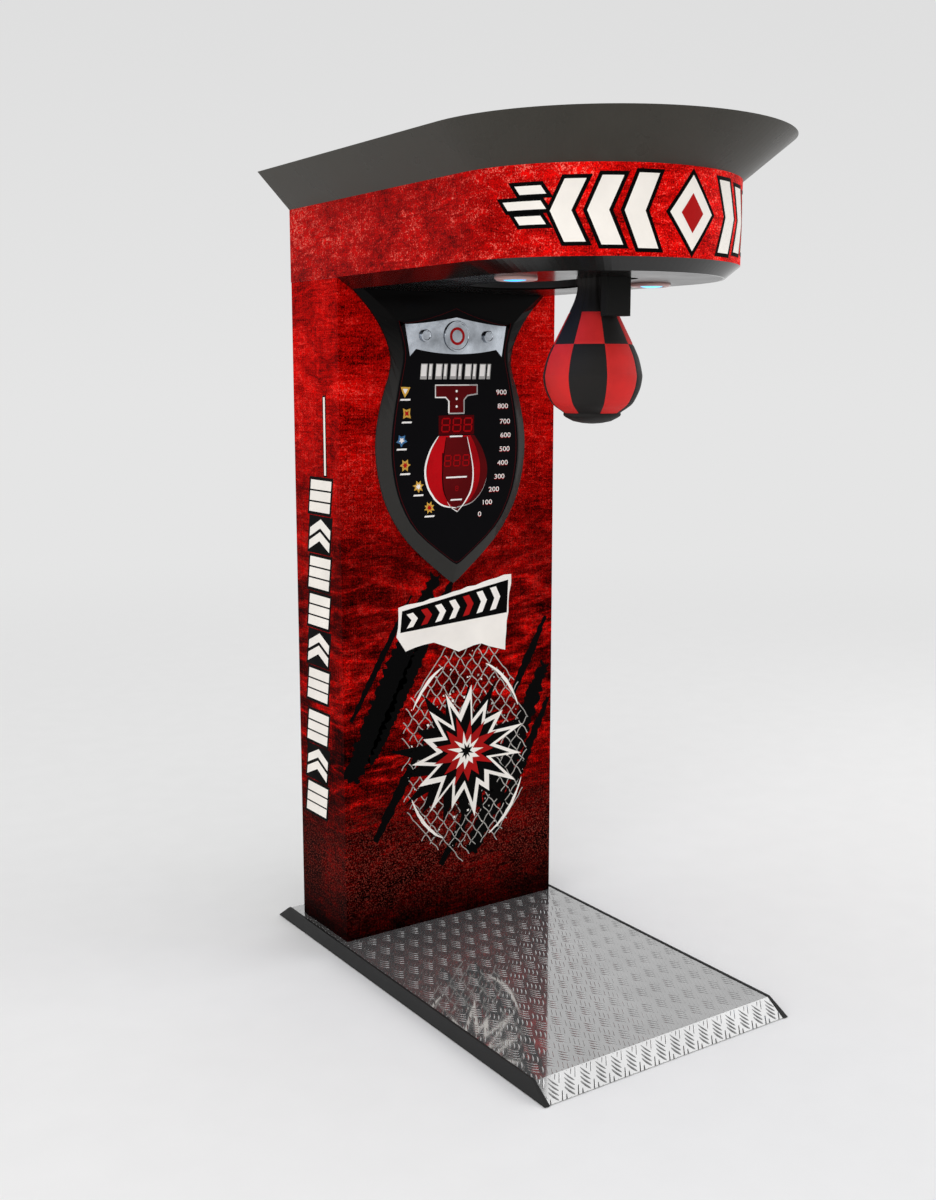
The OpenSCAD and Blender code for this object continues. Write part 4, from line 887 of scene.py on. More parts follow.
def ribbon(line: Line, width: float | Callable[[float], float]) -> Outline:
    """Outline of a ribbon along a line; its width may change with the share of its length.

    Args:
        line: Its middle line.
        width: Its width, or a function of the share of its length.

    Returns:
        The outline.
    """
    left, right = [], []
    count = len(line)
    for i, here in enumerate(line):
        run = (Vector(line[min(i + 1, count - 1)]) - Vector(line[max(i - 1, 0)])).normalized()
        half = (width(i / (count - 1)) if callable(width) else width) / 2
        side = Vector((-run.y, run.x)) * half
        left.append(tuple(Vector(here) + side))
        right.append(tuple(Vector(here) - side))
    return right + left[::-1]


class Way(Enum):
    """Direction that a fastener's head faces: its turn about X, Y and Z, in degrees."""

    UP = (0.0, 0.0, 0.0)
    REAR = (-90.0, 0.0, 0.0)
    RIGHT = (0.0, 90.0, 0.0)
    LEFT = (0.0, -90.0, 0.0)


@dataclass
class Fittings:
    """Fasteners and small bought parts, each modelled once and copied to its places.

    The lengths say in millimetres where each face or axis lies that something is fixed on.
    """

    dice: random.Random = field(default_factory=lambda: random.Random(17))
    models: list[Object] = field(default_factory=list)
    rear_face: float = 531.0
    rear_plates: float = 534.0
    hinge: float = -269.0
    blades: float = 516.8
    coin_face: float = 343.0
    cover_top: float = 2036.0
    bracket_top: float = 1895.0
    board_top: float = 1789.0
    bezel_foot: float = 1750.0
    circuit_face: float = -313.0
    pivot: Point = (142.0, -357.0, 1848.0)
    axle: Point = (250.0, 612.0, 27.0)

    def cross_screw(self, radius: float) -> Object:
        """Model a pan head screw with a cross recess, 24 sides round.

        Args:
            radius: The head's radius in millimetres.

        Returns:
            The screw's head.
        """
        rise = ((1, 0.18), (0.93, 0.4), (0.72, 0.55), (0.4, 0.63))
        head = lathe([(radius, -0.4)] + [(r * radius, z * radius) for r, z in rise], 24)
        arm, half = 0.62 * radius, 0.13 * radius
        quarter = [(half, -arm), (half, -half), (arm, -half)]
        cross = [(x * a - y * b, x * b + y * a) for a, b in ((1, 0), (0, 1), (-1, 0), (0, -1)) for x, y in quarter]
        return self.sunk(head, drawn([cross], radius), 0.3 * radius)

    def socket_screw(self, radius: float, high: float) -> Object:
        """Model a cylinder head screw with a chamfered rim and a hexagon recess."""
        head = lathe([(radius, -0.4), (radius, high * 0.86), (radius * 0.88, high)], 24)
        return self.sunk(head, lathe([(radius * 0.54, 0), (radius * 0.54, high)], 6), high * 0.45)

    def sunk(self, head: Object, tool: Object, level: float) -> Object:
        """Cut a recess with a tool that starts at a level above the head's foot.

        Args:
            head: The screw's head.
            tool: A solid of the recess's shape.
            level: Where the tool starts above the head's foot, in millimetres.

        Returns:
            The head.
        """
        tool.location = (0, 0, level * MM)
        shaped(head, "BOOLEAN", object=applied(tool), operation="DIFFERENCE", solver="EXACT")
        dropped(tool)
        return head

    def hex_bolt(self, radius: float) -> Object:
        """Model a hexagon head with a turned face, standing on a washer.

        Args:
            radius: The head's radius in millimetres.

        Returns:
            The bolt's head.
        """
        head = lathe([(radius, 0.25 * radius), (radius, 0.8 * radius), (0.84 * radius, 0.92 * radius)], 6)
        washer = lathe([(1.32 * radius, -0.3), (1.32 * radius, 0.18 * radius), (1.24 * radius, 0.25 * radius)], 24)
        return joined([head, washer])

    def place(self, model: Object, name: str, way: Way, spots: Line, body: str = "cabinet", finish: Finish = ZINC,
              slot: str = "zinc") -> None:
        """Copy a model to its spots, each turned by chance about its own axis, and join the copies.

        Args:
            model: The fastener, its foot at the origin and its head upwards.
            name: Name of the joined piece.
            way: Where its head faces.
            spots: Its places in millimetres.
            body: The body that it rides on.
            finish: Its finish.
            slot: The record's material slot; not used.
        """
        if model not in self.models:
            self.models.append(model)
        turn = Matrix.Identity(4)
        for angle, axis in zip(way.value, "XYZ"):
            turn = Matrix.Rotation(math.radians(angle), 4, axis) @ turn
        copies = []
        for spot in spots:
            twin = copied(model)
            roll = Matrix.Rotation(self.dice.uniform(0, math.pi), 4, "Z")
            twin.matrix_world = Matrix.Translation(Vector(spot) * MM) @ turn @ roll
            copies.append(applied(twin))
        settle(joined(copies), name, finish, 35, body)

    def rear(self) -> None:
        """Screw the rear panel, the hinges and the inlet down, and put blades in the inlet."""
        edge = [(x, self.rear_face, z) for x in (-317, 317) for z in range(70, 1800, 216)]
        edge += [(x, self.rear_face, 1945.0) for x in (-310, -104, 104, 310)]
        self.place(self.cross_screw(4.6), "rear_panel_screws", Way.REAR, edge)
        screw = self.cross_screw(4.0)
        for aside, name, body in ((-31, "hinge_screws_fixed", "cabinet"), (31, "hinge_screws_door", "door")):
            holes = [(self.hinge + aside, self.rear_plates, z + dz) for z in (412, 1108) for dz in (12, 45, 78)]
            self.place(screw, name, Way.REAR, holes, body)
        self.place(self.cross_screw(2.4), "inlet_screws", Way.REAR,
                   [(x, self.rear_plates, 180.0) for x in (204.5, 255.5)])
        blade = bevelled(drawn([rectangle(0, 0, 4.0, 6.2)], 11), 0.5)
        blades = repeated(blade, [(x, self.blades, z) for x, z in ((222, 158), (238, 158), (230, 164))], (-90, 0, 0))
        settle(blades, "inlet_blades", BRONZE)

    def louvres(self) -> None:
        """Hood each vent of the door with a pressed lip."""
        lip = lathe([(0.4, -114), (3.6, -110), (4.4, -100), (4.4, 100), (3.6, 110), (0.4, 114)], 16)
        lip.matrix_world = Matrix.Rotation(math.radians(90), 4, "Y")
        with editing(applied(lip)):
            for normal in ((0, -1, 0), (0, 0, -1)):
                cut_off((0, -0.2), normal)
        hoods = repeated(lip, [(0, self.rear_face, 1155.4 - i * 16) for i in range(9)])
        settle(hoods, "vent_hoods", LAMINATE, 40, "door")

    def coin_door(self) -> None:
        """Fix the coin plate with security screws and frame its slot and its return cup."""
        self.place(self.socket_screw(4.2, 2.6), "coin_plate_screws", Way.RIGHT,
                   [(self.coin_face, y, z) for y in (352, 461) for z in (941, 1060, 1179)],
                   finish=STAINLESS, slot="stainless")
        origin = (self.coin_face, 0, 0)
        openings = ((rectangle(388.5, 1130, 3.5, 30), 6.0), (rectangle(406.5, 987, 60, 46), 5.0))
        rings = [drawn([grown(inner, rim), grown(inner, 0.3)], 1.6) for inner, rim in openings]
        settle(stand(joined(rings), Face.RIGHT, origin), "coin_plate_frames", ZINC)
        art = Print(Face.RIGHT, origin, slot="stainless")
        art.lay([[(370, 1118), (380, 1130), (370, 1142)]], BLACK_INK, 0.3)
        art.lay([rectangle(424, 1079, 40, 26)], BLACK_INK, 0.3)
        for i in range(3):
            art.lay([slanted(409 + i * 11, 1071, 6, 16, 3)], WHITE_INK, 0.5)
        art.finish("coin_print")

    def head(self) -> None:
        """Screw down the crown's cover and bolt the mechanism's bearings and bracket."""
        edge = [(x, y) for x in (-395, 395) for y in (-240, -40, 160, 360, 500)]
        edge += [(x, 516.0) for x in (-184, 0, 184)] + polar(392, (205, 235, 270, 305, 335), (0, -305))
        self.place(self.cross_screw(5.0), "cover_screws", Way.UP, [(x, y, self.cover_top) for x, y in edge])
        bolt = self.hex_bolt(4.6)
        around = polar(28, (45, 135, 225, 315), self.pivot[1:])
        for side, way in ((-1, Way.RIGHT), (1, Way.LEFT)):
            spots = [(side * self.pivot[0], y, z) for y, z in around]
            self.place(bolt, f"bearing_bolts_{way.name.lower()}", way, spots)
        self.place(bolt, "bracket_bolts", Way.UP, [(165, y, self.bracket_top) for y in (-520, -470, -428)])
        self.place(bolt, "board_bolts", Way.UP, [(x, y, self.board_top) for x in (-200, 200) for y in (-60, 120)])

    def bezels(self) -> None:
        """Hang a rolled bezel round each downlight's lens, its lip just above the lens's foot."""
        low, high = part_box("light_rings")
        reach = (high.x - low.x) / 2 / MM - 50.0
        bezel = lathe([(44.6, 1.0), (46.2, 0.0), (46.8, -2.2), (46.2, -4.6), (44.4, -6.4), (41.4, -7.2), (37.6, -7.0),
                       (35.0, -6.0), (33.4, -4.4), (33.1, -1.5)], 72)
        middle = (low.y + high.y) / 2 / MM
        pair = repeated(bezel, [(side * reach, middle, self.bezel_foot) for side in (-1, 1)])
        settle(pair, "light_bezels", RING, 40)

    def wheels(self) -> None:
        """Nut the wheels' axles and bolt each wheel's disc, so that its turning shows."""
        nut = self.hex_bolt(5.2)
        bolt = self.socket_screw(1.8, 1.4)
        x, y, z = self.axle
        for side, name in ((-1, "wheel_l"), (1, "wheel_r")):
            for aside, way in ((-16, Way.LEFT), (16, Way.RIGHT)):
                self.place(nut, f"axle_nut_{name[-1]}_{way.name.lower()}", way, [(side * x + aside, y, z)])
            ring = [(side * x + 8, *spot) for spot in polar(12, (90, 210, 330), (y, z))]
            self.place(bolt, f"{name}_bolts", Way.RIGHT, ring, name)

    def chip(self, y: float, z: float, width: float, height: float) -> list[Object]:
        """Make a chip on the control board, with a row of legs along each long side.

        Args:
            y: Its middle along the board, in millimetres.
            z: Its middle's height.
            width: Its width.
            height: Its height.

        Returns:
            The chip and its legs.
        """
        def plate(outline: Outline, thick: float) -> Object:
            """Stand a plate on the board's face."""
            return stand(drawn([outline], thick), Face.RIGHT, (self.circuit_face, 0, 0))

        pieces = [bevelled(plate(rectangle(y, z, width, height), 3), 0.6)]
        aside = min(width, height) / 2 + 1.5
        for k in range(int(max(width, height) // 4)):
            for s in (-1, 1):
                at = ((y + s * aside, z - height / 2 + 3 + 4 * k) if height > width
                      else (y - width / 2 + 3 + 4 * k, z + s * aside))
                pieces.append(plate(rectangle(*at, 2, 2), 1.2))
        return pieces

    def board(self) -> None:
        """Fit the control board with capacitors, chips and screws, and the supply with its terminals."""
        face = self.circuit_face
        cans = []
        for y, z, r, h in ((380, 1000, 9, 26), (402, 1000, 9, 26), (430, 1004, 6, 14), (446, 1004, 6, 14),
                           (360, 1140, 5, 11), (374, 1140, 5, 11), (388, 1140, 5, 11)):
            rise = ((1, 0), (1, 0.1), (0.9, 0.14), (1, 0.19), (1, 0.95), (0.86, 1))
            cans.append(lathe([(a * r, b * h) for a, b in rise], 24, (face, y, z), (0, 90, 0)))
        settle(joined(cans), "board_capacitors", NYLON, 40)
        chips = []
        for place in ((375, 1102, 16, 30), (425, 1120, 34, 12), (430, 1085, 14, 14), (440, 1050, 20, 10)):
            chips += self.chip(*place)
        settle(joined(chips), "board_chips", NYLON)
        screw = self.cross_screw(3.2)
        self.place(screw, "supply_terminals", Way.UP, [(-250 + 16 * i, 378.0, 257.0) for i in range(6)], finish=BRONZE)
        self.place(screw, "board_screws", Way.RIGHT, [(face, y, z) for y in (351, 455) for z in (958, 1162)])

    def build(self) -> None:
        """Make and place every fitting, and remove the models at the end."""
        for step in (self.rear, self.louvres, self.coin_door, self.head, self.bezels, self.wheels, self.board):
            step()
        for model in self.models:
            dropped(model)


@dataclass
class Crest:
    """Crest plate's details: turned caps on its two bolts and a red ring in its dished boss."""

    bolts: float = 98.0
    drop: float = 48.0
    dish: float = 3.0

    def build(self) -> None:
        """Cap the bolts and inlay the ring."""
        low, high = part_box("shield_crest")
        level = high.z / MM - self.drop
        front = low.y / MM
        cap = lathe([(15.4, 0.0), (15.4, 2.0), (13.4, 3.2), (11.6, 3.2), (10.4, 1.8), (4.0, 1.6)], 40)
        caps = repeated(cap, [(x, front, level) for x in (-self.bolts, self.bolts)], (90, 0, 0))
        settle(caps, "crest_bolt_caps", CREST, 30)
        rim = lathe([(39.6, -0.5), (39.6, 1.4), (38.2, 2.4), (35.2, 2.4), (34.0, 1.0), (30.0, 0.8)], 64,
                    (0, front + self.dish, level), (90, 0, 0))
        settle(rim, "crest_boss_rim", CREST, 30)
        art = Print(Face.FRONT, (0, front + self.dish - 0.8, 0), slot="bright_plate")
        art.lay([polar(radius, range(0, 360, 6), (0, level)) for radius in (23.0, 16.0)], RED_INK, 0.5)
        art.finish("crest_ring")


@dataclass
class Platform:
    """Tread plate with its rolled lugs: sizes in millimetres, where its slopes start and how far they run."""

    cell: Point = (44.2, 71.0)
    first: Point = (-172.5, -423.0)
    lug: Point = (28.5, 3.7, 0.9)
    lug_top: Point = (0.86, 0.5)
    bend: float = 3.4
    lean: float = 58.0
    step: float = 11.4
    sunk: float = 0.2
    front: Point = (-578.0, 54.0)
    rear: Point = (584.0, 48.0)
    notch: Point = (231.0, 269.0)

    def lug_piece(self) -> Object:
        """Model one lug: an oval raised from the plate, narrower at its top, and slightly bent.

        Returns:
            The lug.
        """
        clear()
        length, width, high = self.lug
        bpy.ops.mesh.primitive_circle_add(vertices=10, radius=0.5, fill_type="NGON", location=(0, 0, 0))
        piece = bpy.context.object
        bpy.ops.transform.resize(value=(length * MM, width * MM, 1.0))
        with editing(applied(piece)):
            for share in (0.6, 0.4):
                bpy.ops.mesh.extrude_region_move(TRANSFORM_OT_translate={"value": (0, 0, high * share * MM)})
            bpy.ops.transform.resize(value=(*self.lug_top, 1.0))
        for vertex in piece.data.vertices:
            vertex.co.y += self.bend / length * (vertex.co.x ** 2) / (length * MM / 2)
        return piece

    def cell_piece(self) -> Object:
        """Arrange one cell of the pattern: a group of four lugs and its mirror image between the groups.

        Returns:
            The cell.
        """
        model = self.lug_piece()
        lugs = []
        for hand, x, y in ((1, 0.0, 0.0), (-1, -self.cell[0] / 2, -self.cell[1] / 2)):
            for i in range(4):
                along = (i - 1.5) * self.step
                lugs.append(copied(model, (x + hand * 0.5 * along, y - 0.866 * along, 0), (0, 0, hand * self.lean)))
        dropped(model)
        return applied(joined(lugs))

    def sheet(self, x0: float, x1: float, y0: float, y1: float) -> Object:
        """Cover a rectangle of the plate with cells, cut off at its edges.

        Args:
            x0: Left edge in millimetres.
            x1: Right edge.
            y0: Front edge.
            y1: Rear edge.

        Returns:
            The lugs, flat at the height of zero.
        """
        cell = self.cell_piece()
        for axis, (start, end) in enumerate(((x0, x1), (y0, y1))):
            pitch, first = self.cell[axis], self.first[axis]
            offset = [0.0, 0.0, 0.0]
            offset[axis] = pitch * MM
            shaped(cell, "ARRAY", count=math.ceil((end - start) / pitch) + 2, use_relative_offset=False,
                   use_constant_offset=True, constant_offset_displace=offset)
            cell.location[axis] = (first + math.floor((start - first) / pitch) * pitch) * MM
        with editing(applied(cell)):
            for place, normal in (((x0, 0), (-1, 0, 0)), ((x1, 0), (1, 0, 0)), ((0, y0), (0, -1, 0)),
                                  ((0, y1), (0, 1, 0))):
                cut_off(place, normal)
        return cell

    def build(self) -> None:
        """Cover the plate's top round the column and both slopes with lugs, leaving the wheel notches bare."""
        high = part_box("tread_plate")[1]
        half = high.x / MM - 3
        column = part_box("column_front")[0].y / MM
        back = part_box("rear_panel")[1].y / MM
        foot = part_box("column_side_right")[1].x / MM
        top = high.z - self.sunk * MM
        drop = high.z / MM - 2.0
        areas = {"front": (-half, half, self.front[0] + 1, column - 1), "left": (-half, -foot - 1, column + 1, back),
                 "right": (foot + 1, half, column + 1, back), "back": (-half, half, back + 3, self.rear[0] - 1)}
        for side, area in areas.items():
            sheet = self.sheet(*area)
            sheet.location.z = top
            settle(sheet, f"tread_lugs_{side}", TREAD, 30)
        inner, outer = self.notch
        for side, hand, (edge, run), spans in (
                ("front", -1, self.front, ((-half, half),)),
                ("rear", 1, self.rear, ((-half, -outer), (-inner, inner), (outer, half)))):
            near, far = sorted((2 * hand, (math.hypot(run, drop) - 2) * hand))
            lip = joined([self.sheet(x0, x1, near, far) for x0, x1 in spans])
            lip.location = (0, edge * MM, top)
            lip.rotation_euler.x = -hand * math.atan2(drop, run)
            settle(lip, f"tread_lugs_{side}_slope", TREAD, 30)


@dataclass
class Bag:
    """Leather bag with eight puffed gores, a gathered neck and a capped foot.

    Depths and widths are in millimetres, angles in degrees; seam shares are of half a gore, and the foot's
    pinned part starts at a share of the length. No point of the cloth moves further than most.
    """

    sides: int = 96
    steps: int = 4
    gathers: int = 16
    gather_depth: float = 1.3
    gather_run: float = 25.0
    gore: float = 45.0
    seam_depth: float = 1.1
    seam_width: float = 0.045
    seam_pinned: float = 0.07
    neck_pinned: float = 10.0
    foot_pinned: float = 0.925
    band_width: float = 1.6
    neck_radius: float = 15.0
    checker_z: float = 1607.0
    neck_z: float = 1679.0
    pressure: float = 4.0
    frames: int = 12
    quality: int = 6
    most: float = 3.0
    open_share: float = 0.932
    profile: Line = ((0.41, 0), (0.40, 0.03), (0.355, 0.08), (0.335, 0.125), (0.38, 0.19), (0.49, 0.275),
                     (0.78, 0.468), (0.92, 0.569), (0.99, 0.662), (1, 0.70), (0.965, 0.766), (0.885, 0.829),
                     (0.795, 0.876), (0.61, 0.92), (0.57, 0.932))

    def __post_init__(self) -> None:
        """Read the bag's place from its solids."""
        low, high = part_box("bag_body")
        self.axis = ((low.x + high.x) / 2, (low.y + high.y) / 2)
        self.centre = (self.axis[0] / MM, self.axis[1] / MM, 0.0)
        self.radius = (high.x - low.x) / 2 / MM
        self.top = high.z / MM
        self.length = (self.top - low.z / MM) / self.open_share

    def skin(self) -> Object:
        """Loft the skin through the profile, a little under its size so that it can swell.

        Returns:
            The closed skin.
        """
        line = [(r * self.radius - 1.0, self.top - z * self.length)
                for r, z in curve_through(self.profile, self.steps)]
        first, last = [(r * 0.2, z - 0.4) for r, z in (line[0], line[-1])]
        return applied(lathe([first, *line, last], self.sides, self.centre))

    def angle(self, x: float, y: float) -> float:
        """Angle of a point round the bag's axis, in degrees."""
        return math.degrees(math.atan2(y - self.axis[1], x - self.axis[0]))

    def share(self, x: float, y: float) -> float:
        """Where a point lies across its gore, from -1 at one seam to 1 at the other."""
        half = self.gore / 2
        return ((self.angle(x, y) + half) % self.gore) / half - 1.0

    def swell(self, piece: Object) -> None:
        """Swell the gores between their seams with a cloth simulation, and cap how far a point moves.

        Args:
            piece: The piece.
        """
        rest = [v.co.copy() for v in piece.data.vertices]
        pins = piece.vertex_groups.new(name="pins")
        for i, co in enumerate(rest):
            on_seam = abs(self.share(co.x, co.y)) > 1 - self.seam_pinned
            level = co.z / MM
            at_end = level > self.neck_z + self.neck_pinned or level < self.top - self.foot_pinned * self.length
            pins.add([i], 1.0 if at_end or on_seam else 0.0, "REPLACE")
        cloth = piece.modifiers.new("cloth", "CLOTH")
        cloth.settings.vertex_group_mass = "pins"
        cloth.settings.use_pressure = True
        cloth.settings.uniform_pressure_force = self.pressure
        cloth.settings.effector_weights.gravity = 0.0
        cloth.settings.quality = self.quality
        scene = bpy.context.scene
        for frame_number in range(1, self.frames + 1):
            scene.frame_set(frame_number)
        choose(piece)
        bpy.ops.object.modifier_apply(modifier="cloth")
        scene.frame_set(1)
        piece.vertex_groups.clear()
        for vertex, old in zip(piece.data.vertices, rest):
            move = vertex.co - old
            if move.length > self.most * MM:
                vertex.co = old + move.normalized() * self.most * MM

    def shape(self, piece: Object) -> None:
        """Sink the seams, gather the neck and dress each gore in its own leather.

        Args:
            piece: The piece.
        """
        for vertex in piece.data.vertices:
            share = self.share(vertex.co.x, vertex.co.y)
            out = Vector((vertex.co.x - self.axis[0], vertex.co.y - self.axis[1], 0))
            if out.length < self.neck_radius * MM:
                continue
            z = vertex.co.z / MM
            seam = math.exp(-((1 - abs(share)) / self.seam_width) ** 2)
            band = max(math.exp(-((z - level) / self.band_width) ** 2) for level in (self.checker_z, self.neck_z))
            wave = 0.5 + 0.5 * math.cos(self.gathers * math.atan2(out.y, out.x))
            gather = min(1.0, max(0.0, (z - self.neck_z) / self.gather_run)) * self.gather_depth * wave
            vertex.co -= out.normalized() * (self.seam_depth * max(seam, band) + gather) * MM
        for face in piece.data.polygons:
            even = round(self.angle(face.center.x, face.center.y) / self.gore) % 2 == 0
            z = face.center.z / MM
            face.material_index = 1 if z > self.neck_z or even == (z > self.checker_z) else 0

    def build(self) -> None:
        """Make the bag and its cap and let them stand for their solids."""
        piece = self.skin()
        self.swell(piece)
        shaped(piece, "SUBSURF", levels=2, render_levels=2)
        settle(piece, "bag_leather", (RED_LEATHER, BLACK_LEATHER), 50, "swing")
        self.shape(piece)
        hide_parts("bag_body")
        low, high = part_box("bag_cap")
        rim = (high.x - low.x) / 2 / MM
        top = high.z / MM
        rise = (high.z - low.z) / MM
        cap = lathe([(rim * 0.2, top + 2.0), (rim - 3, top + 2.0), (rim - 0.6, top + 1.2), (rim + 0.3, top - 1),
                     (rim + 0.2, top - 4), (rim - 1.6, top - 6.4), (rim * 0.9, top - 0.42 * rise),
                     (rim * 0.66, top - 0.76 * rise), (rim * 0.35, top - 0.94 * rise), (rim * 0.08, top - rise)],
                    self.sides, self.centre)
        settle(cap, "bag_cap_leather", BLACK_LEATHER, 40, "swing")
        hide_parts("bag_cap")


@dataclass
class Studio:
    """Camera, soft light, pale floor and backdrop; lengths are in metres and the turn is in degrees."""

    eye: Point = (-1.9983, -2.7469, 1.5406)
    turn: Point = (80.535, 0.0, -34.08)
    lens: float = 40.67
    pale: str = "#e5e5e5"

    def camera(self) -> None:
        """Place the camera where the photograph was taken from."""
        data = bpy.data.cameras.new("camera")
        data.lens = self.lens
        data.sensor_width = 36.0
        data.clip_end = 100.0
        held = bpy.data.objects.new("camera", data)
        held.location = self.eye
        held.rotation_euler = radians(self.turn)
        bpy.context.scene.collection.objects.link(held)
        bpy.context.scene.camera = held

    def lamp(self, name: str, place: Point, size: float, power: float) -> Object:
        """Hang an area lamp that looks down, its place in metres.

        Args:
            name: Its name.
            place: Its place in metres.
            size: Its side or diameter in metres.
            power: Its power in watts.

        Returns:
            The lamp.
        """
        data = bpy.data.lights.new(name, "AREA")
        data.size = size
        data.energy = power
        lamp = bpy.data.objects.new(name, data)
        lamp.location = place
        bpy.context.scene.collection.objects.link(lamp)
        return lamp

    def lights(self) -> None:
        """Hang two large soft lamps, and a small blue one under each downlight's lens."""
        for name, place, aim, size, power in (
                ("lamp_key", (3.95, -1.5, 3.6), (0, 0, 0.9), 3.4, 44.0),
                ("lamp_fill", (-3.6, -2.4, 3.0), (0, 0, 1.0), 3.0, 48.0)):
            lamp = self.lamp(name, place, size, power)
            lamp.rotation_euler = (Vector(aim) - Vector(place)).to_track_quat("-Z", "Y").to_euler()
        low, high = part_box("light_lenses")
        for x in (-0.2, 0.2):
            lamp = self.lamp("downlight", (x, (low.y + high.y) / 2, low.z - 0.004), 0.05, 0.32)
            lamp.data.shape, lamp.data.color = "DISK", (0.1, 0.3, 1.0)
            lamp.visible_glossy = False

    def world(self) -> None:
        """Light the scene evenly, and show the camera and the mirrors a pale backdrop with a darker roof."""
        world = bpy.data.worlds.new("studio")
        world.use_nodes = True
        tree = world.node_tree
        graph = Graph(tree, tree.nodes["World Output"])
        rays = graph.add("LightPath").node.outputs
        seen = graph.add("Math", (rays["Is Camera Ray"], rays["Is Glossy Ray"]), operation="MAXIMUM")
        seen = graph.add("Math", (seen, rays["Is Transmission Ray"]), operation="MAXIMUM")
        lit = tree.nodes["Background"]
        lit.inputs["Color"].default_value = linear("#ffffff")
        lit.inputs["Strength"].default_value = 0.84
        height = graph.add("SeparateXYZ", (graph.coords["Generated"],), 2)
        tint = linear(self.pale)
        for start, end, colour in ((-0.02, 0.45, "#dadada"), (0.5, 0.8, "#868686")):
            share = graph.add("MapRange", (height, start, end))
            tint = graph.add("Mix", {0: share, 6: tint, 7: linear(colour)}, 2, data_type="RGBA")
        shown = graph.add("Background", {"Color": tint})
        graph.feed("Surface", graph.add("MixShader", (seen, lit.outputs[0], shown)))
        bpy.context.scene.world = world
        bpy.context.scene.view_settings.view_transform = "Standard"

    def paint_floor(self) -> Material:
        """Matt floor paint that keeps the shadow, and meets the backdrop's own colour far out.

        Returns:
            The paint's material.
        """
        made = Finish("matt_floor_paint", "#eeeeee", 0.9, relief_mm=4.0, relief=0.01, spread=0.004, ior=1.2,
                      specular=0.1).material()
        nodes = made.node_tree.nodes
        graph = Graph(made.node_tree, nodes["Material Output"])
        far = graph.add("VectorMath", (graph.place,), 1, operation="LENGTH")
        far = graph.add("MapRange", (far, 2.4, 8.5), interpolation_type="SMOOTHSTEP")
        glow = graph.add("Emission", {"Color": linear(self.pale)})
        graph.feed("Surface", graph.add("MixShader", (far, nodes["Principled BSDF"].outputs[0], glow)))
        return made

    def floor(self) -> None:
        """Lay a plain pale floor."""
        clear()
        bpy.ops.mesh.primitive_circle_add(vertices=96, radius=60.0, fill_type="NGON", location=(0, 0, 0))
        plane = bpy.context.object
        plane.name = "studio_floor"
        plane.data.materials.append(self.paint_floor())


@dataclass
class Print:
    """Flat inks laid on a face of the machine, each layer a little thicker than the one under it."""

    face: Face
    place: Point
    slot: str = "printed_board"
    layers: dict[Finish, list[Object]] = field(default_factory=dict)

    def lay(self, loops: Sequence[Line], ink: Finish, thick: float) -> None:
        """Add a shape in an ink to the print."""
        self.layers.setdefault(ink, []).append(drawn(loops, thick))

    def number(self, text: str, u: float, v: float, size: float, ink: Finish, thick: float) -> None:
        """Add a plain number, centred on a point.

        Args:
            text: The number.
            u: Its middle across the face, in millimetres.
            v: Its middle up the face.
            size: Its height.
            ink: Its ink.
            thick: Its thickness.
        """
        piece = typed(text, size, thick)
        piece.data.transform(Matrix.Translation((u * MM, v * MM, 0)) @ Matrix.Diagonal((1.3, 1.0, 1.0, 1.0)))
        self.layers.setdefault(ink, []).append(piece)

    def finish(self, name: str, bend: Callable[[Object], None] | None = None) -> None:
        """Join each ink's shapes into one piece and stand it on the face, or bend it round one.

        Args:
            name: Start of the pieces' names; each ink adds its own word.
            bend: What bends a flat piece into place, or nothing where it stands on a flat face.
        """
        for ink, pieces in self.layers.items():
            piece = joined(pieces)
            if bend:
                bend(piece)
            else:
                stand(piece, self.face, self.place)
            settle(piece, f"{name}_{ink.name.split('_')[0]}", ink)


def ragged(loop: Line, step: float, jag: float, seed: int) -> Outline:
    """Roughen a counterclockwise outline as a dry brush does, with seeded jags along it.

    Args:
        loop: The outline.
        step: Distance between two jags.
        jag: Their greatest depth.
        seed: Seed of their unevenness.

    Returns:
        The roughened outline.
    """
    dice = random.Random(seed)
    out: Outline = []
    for i, here in enumerate(loop):
        here, after = Vector(here), Vector(loop[(i + 1) % len(loop)])
        run = after - here
        pieces = max(1, int(run.length / step))
        normal = Vector((run.y, -run.x)).normalized()
        for k in range(pieces):
            out.append(tuple(here + run * (k / pieces) + normal * dice.uniform(-jag, jag)))
    return out


def burst(centre: Point, spikes: int, inner: Point, outer: Point, seed: int, turn: float = 0.0) -> Outline:
    """Outline of an impact star with uneven spikes.

    Args:
        centre: Its middle in millimetres.
        spikes: Number of spikes.
        inner: Least and greatest radius between the spikes.
        outer: Least and greatest radius of a spike's tip.
        seed: Seed of its unevenness.
        turn: Turn in degrees.

    Returns:
        The outline.
    """
    dice = random.Random(seed)
    out = []
    for i in range(2 * spikes):
        low, high = outer if i % 2 else inner
        radius = dice.uniform(low, high)
        angle = math.radians(turn) + math.pi * (i + dice.uniform(-0.22, 0.22)) / spikes
        out.append((centre[0] + radius * math.cos(angle), centre[1] + radius * math.sin(angle)))
    return out


def slanted(u: float, v: float, width: float, height: float, lean: float) -> Outline:
    """Outline of a slanted bar from its lower left corner."""
    return [(u, v), (u + width, v), (u + width + lean, v + height), (u + lean, v + height)]


def chevron(u: float, v: float, width: float, height: float, point: float) -> Outline:
    """Outline of a chevron that points along u.

    Args:
        u: Its rear edge.
        v: Its middle.
        width: Width of each arm.
        height: Its height.
        point: How far its point stands out.

    Returns:
        The outline.
    """
    half = height / 2
    return [(u, v - half), (u + width, v - half), (u + width + point, v), (u + width, v + half), (u, v + half),
            (u + point, v)]


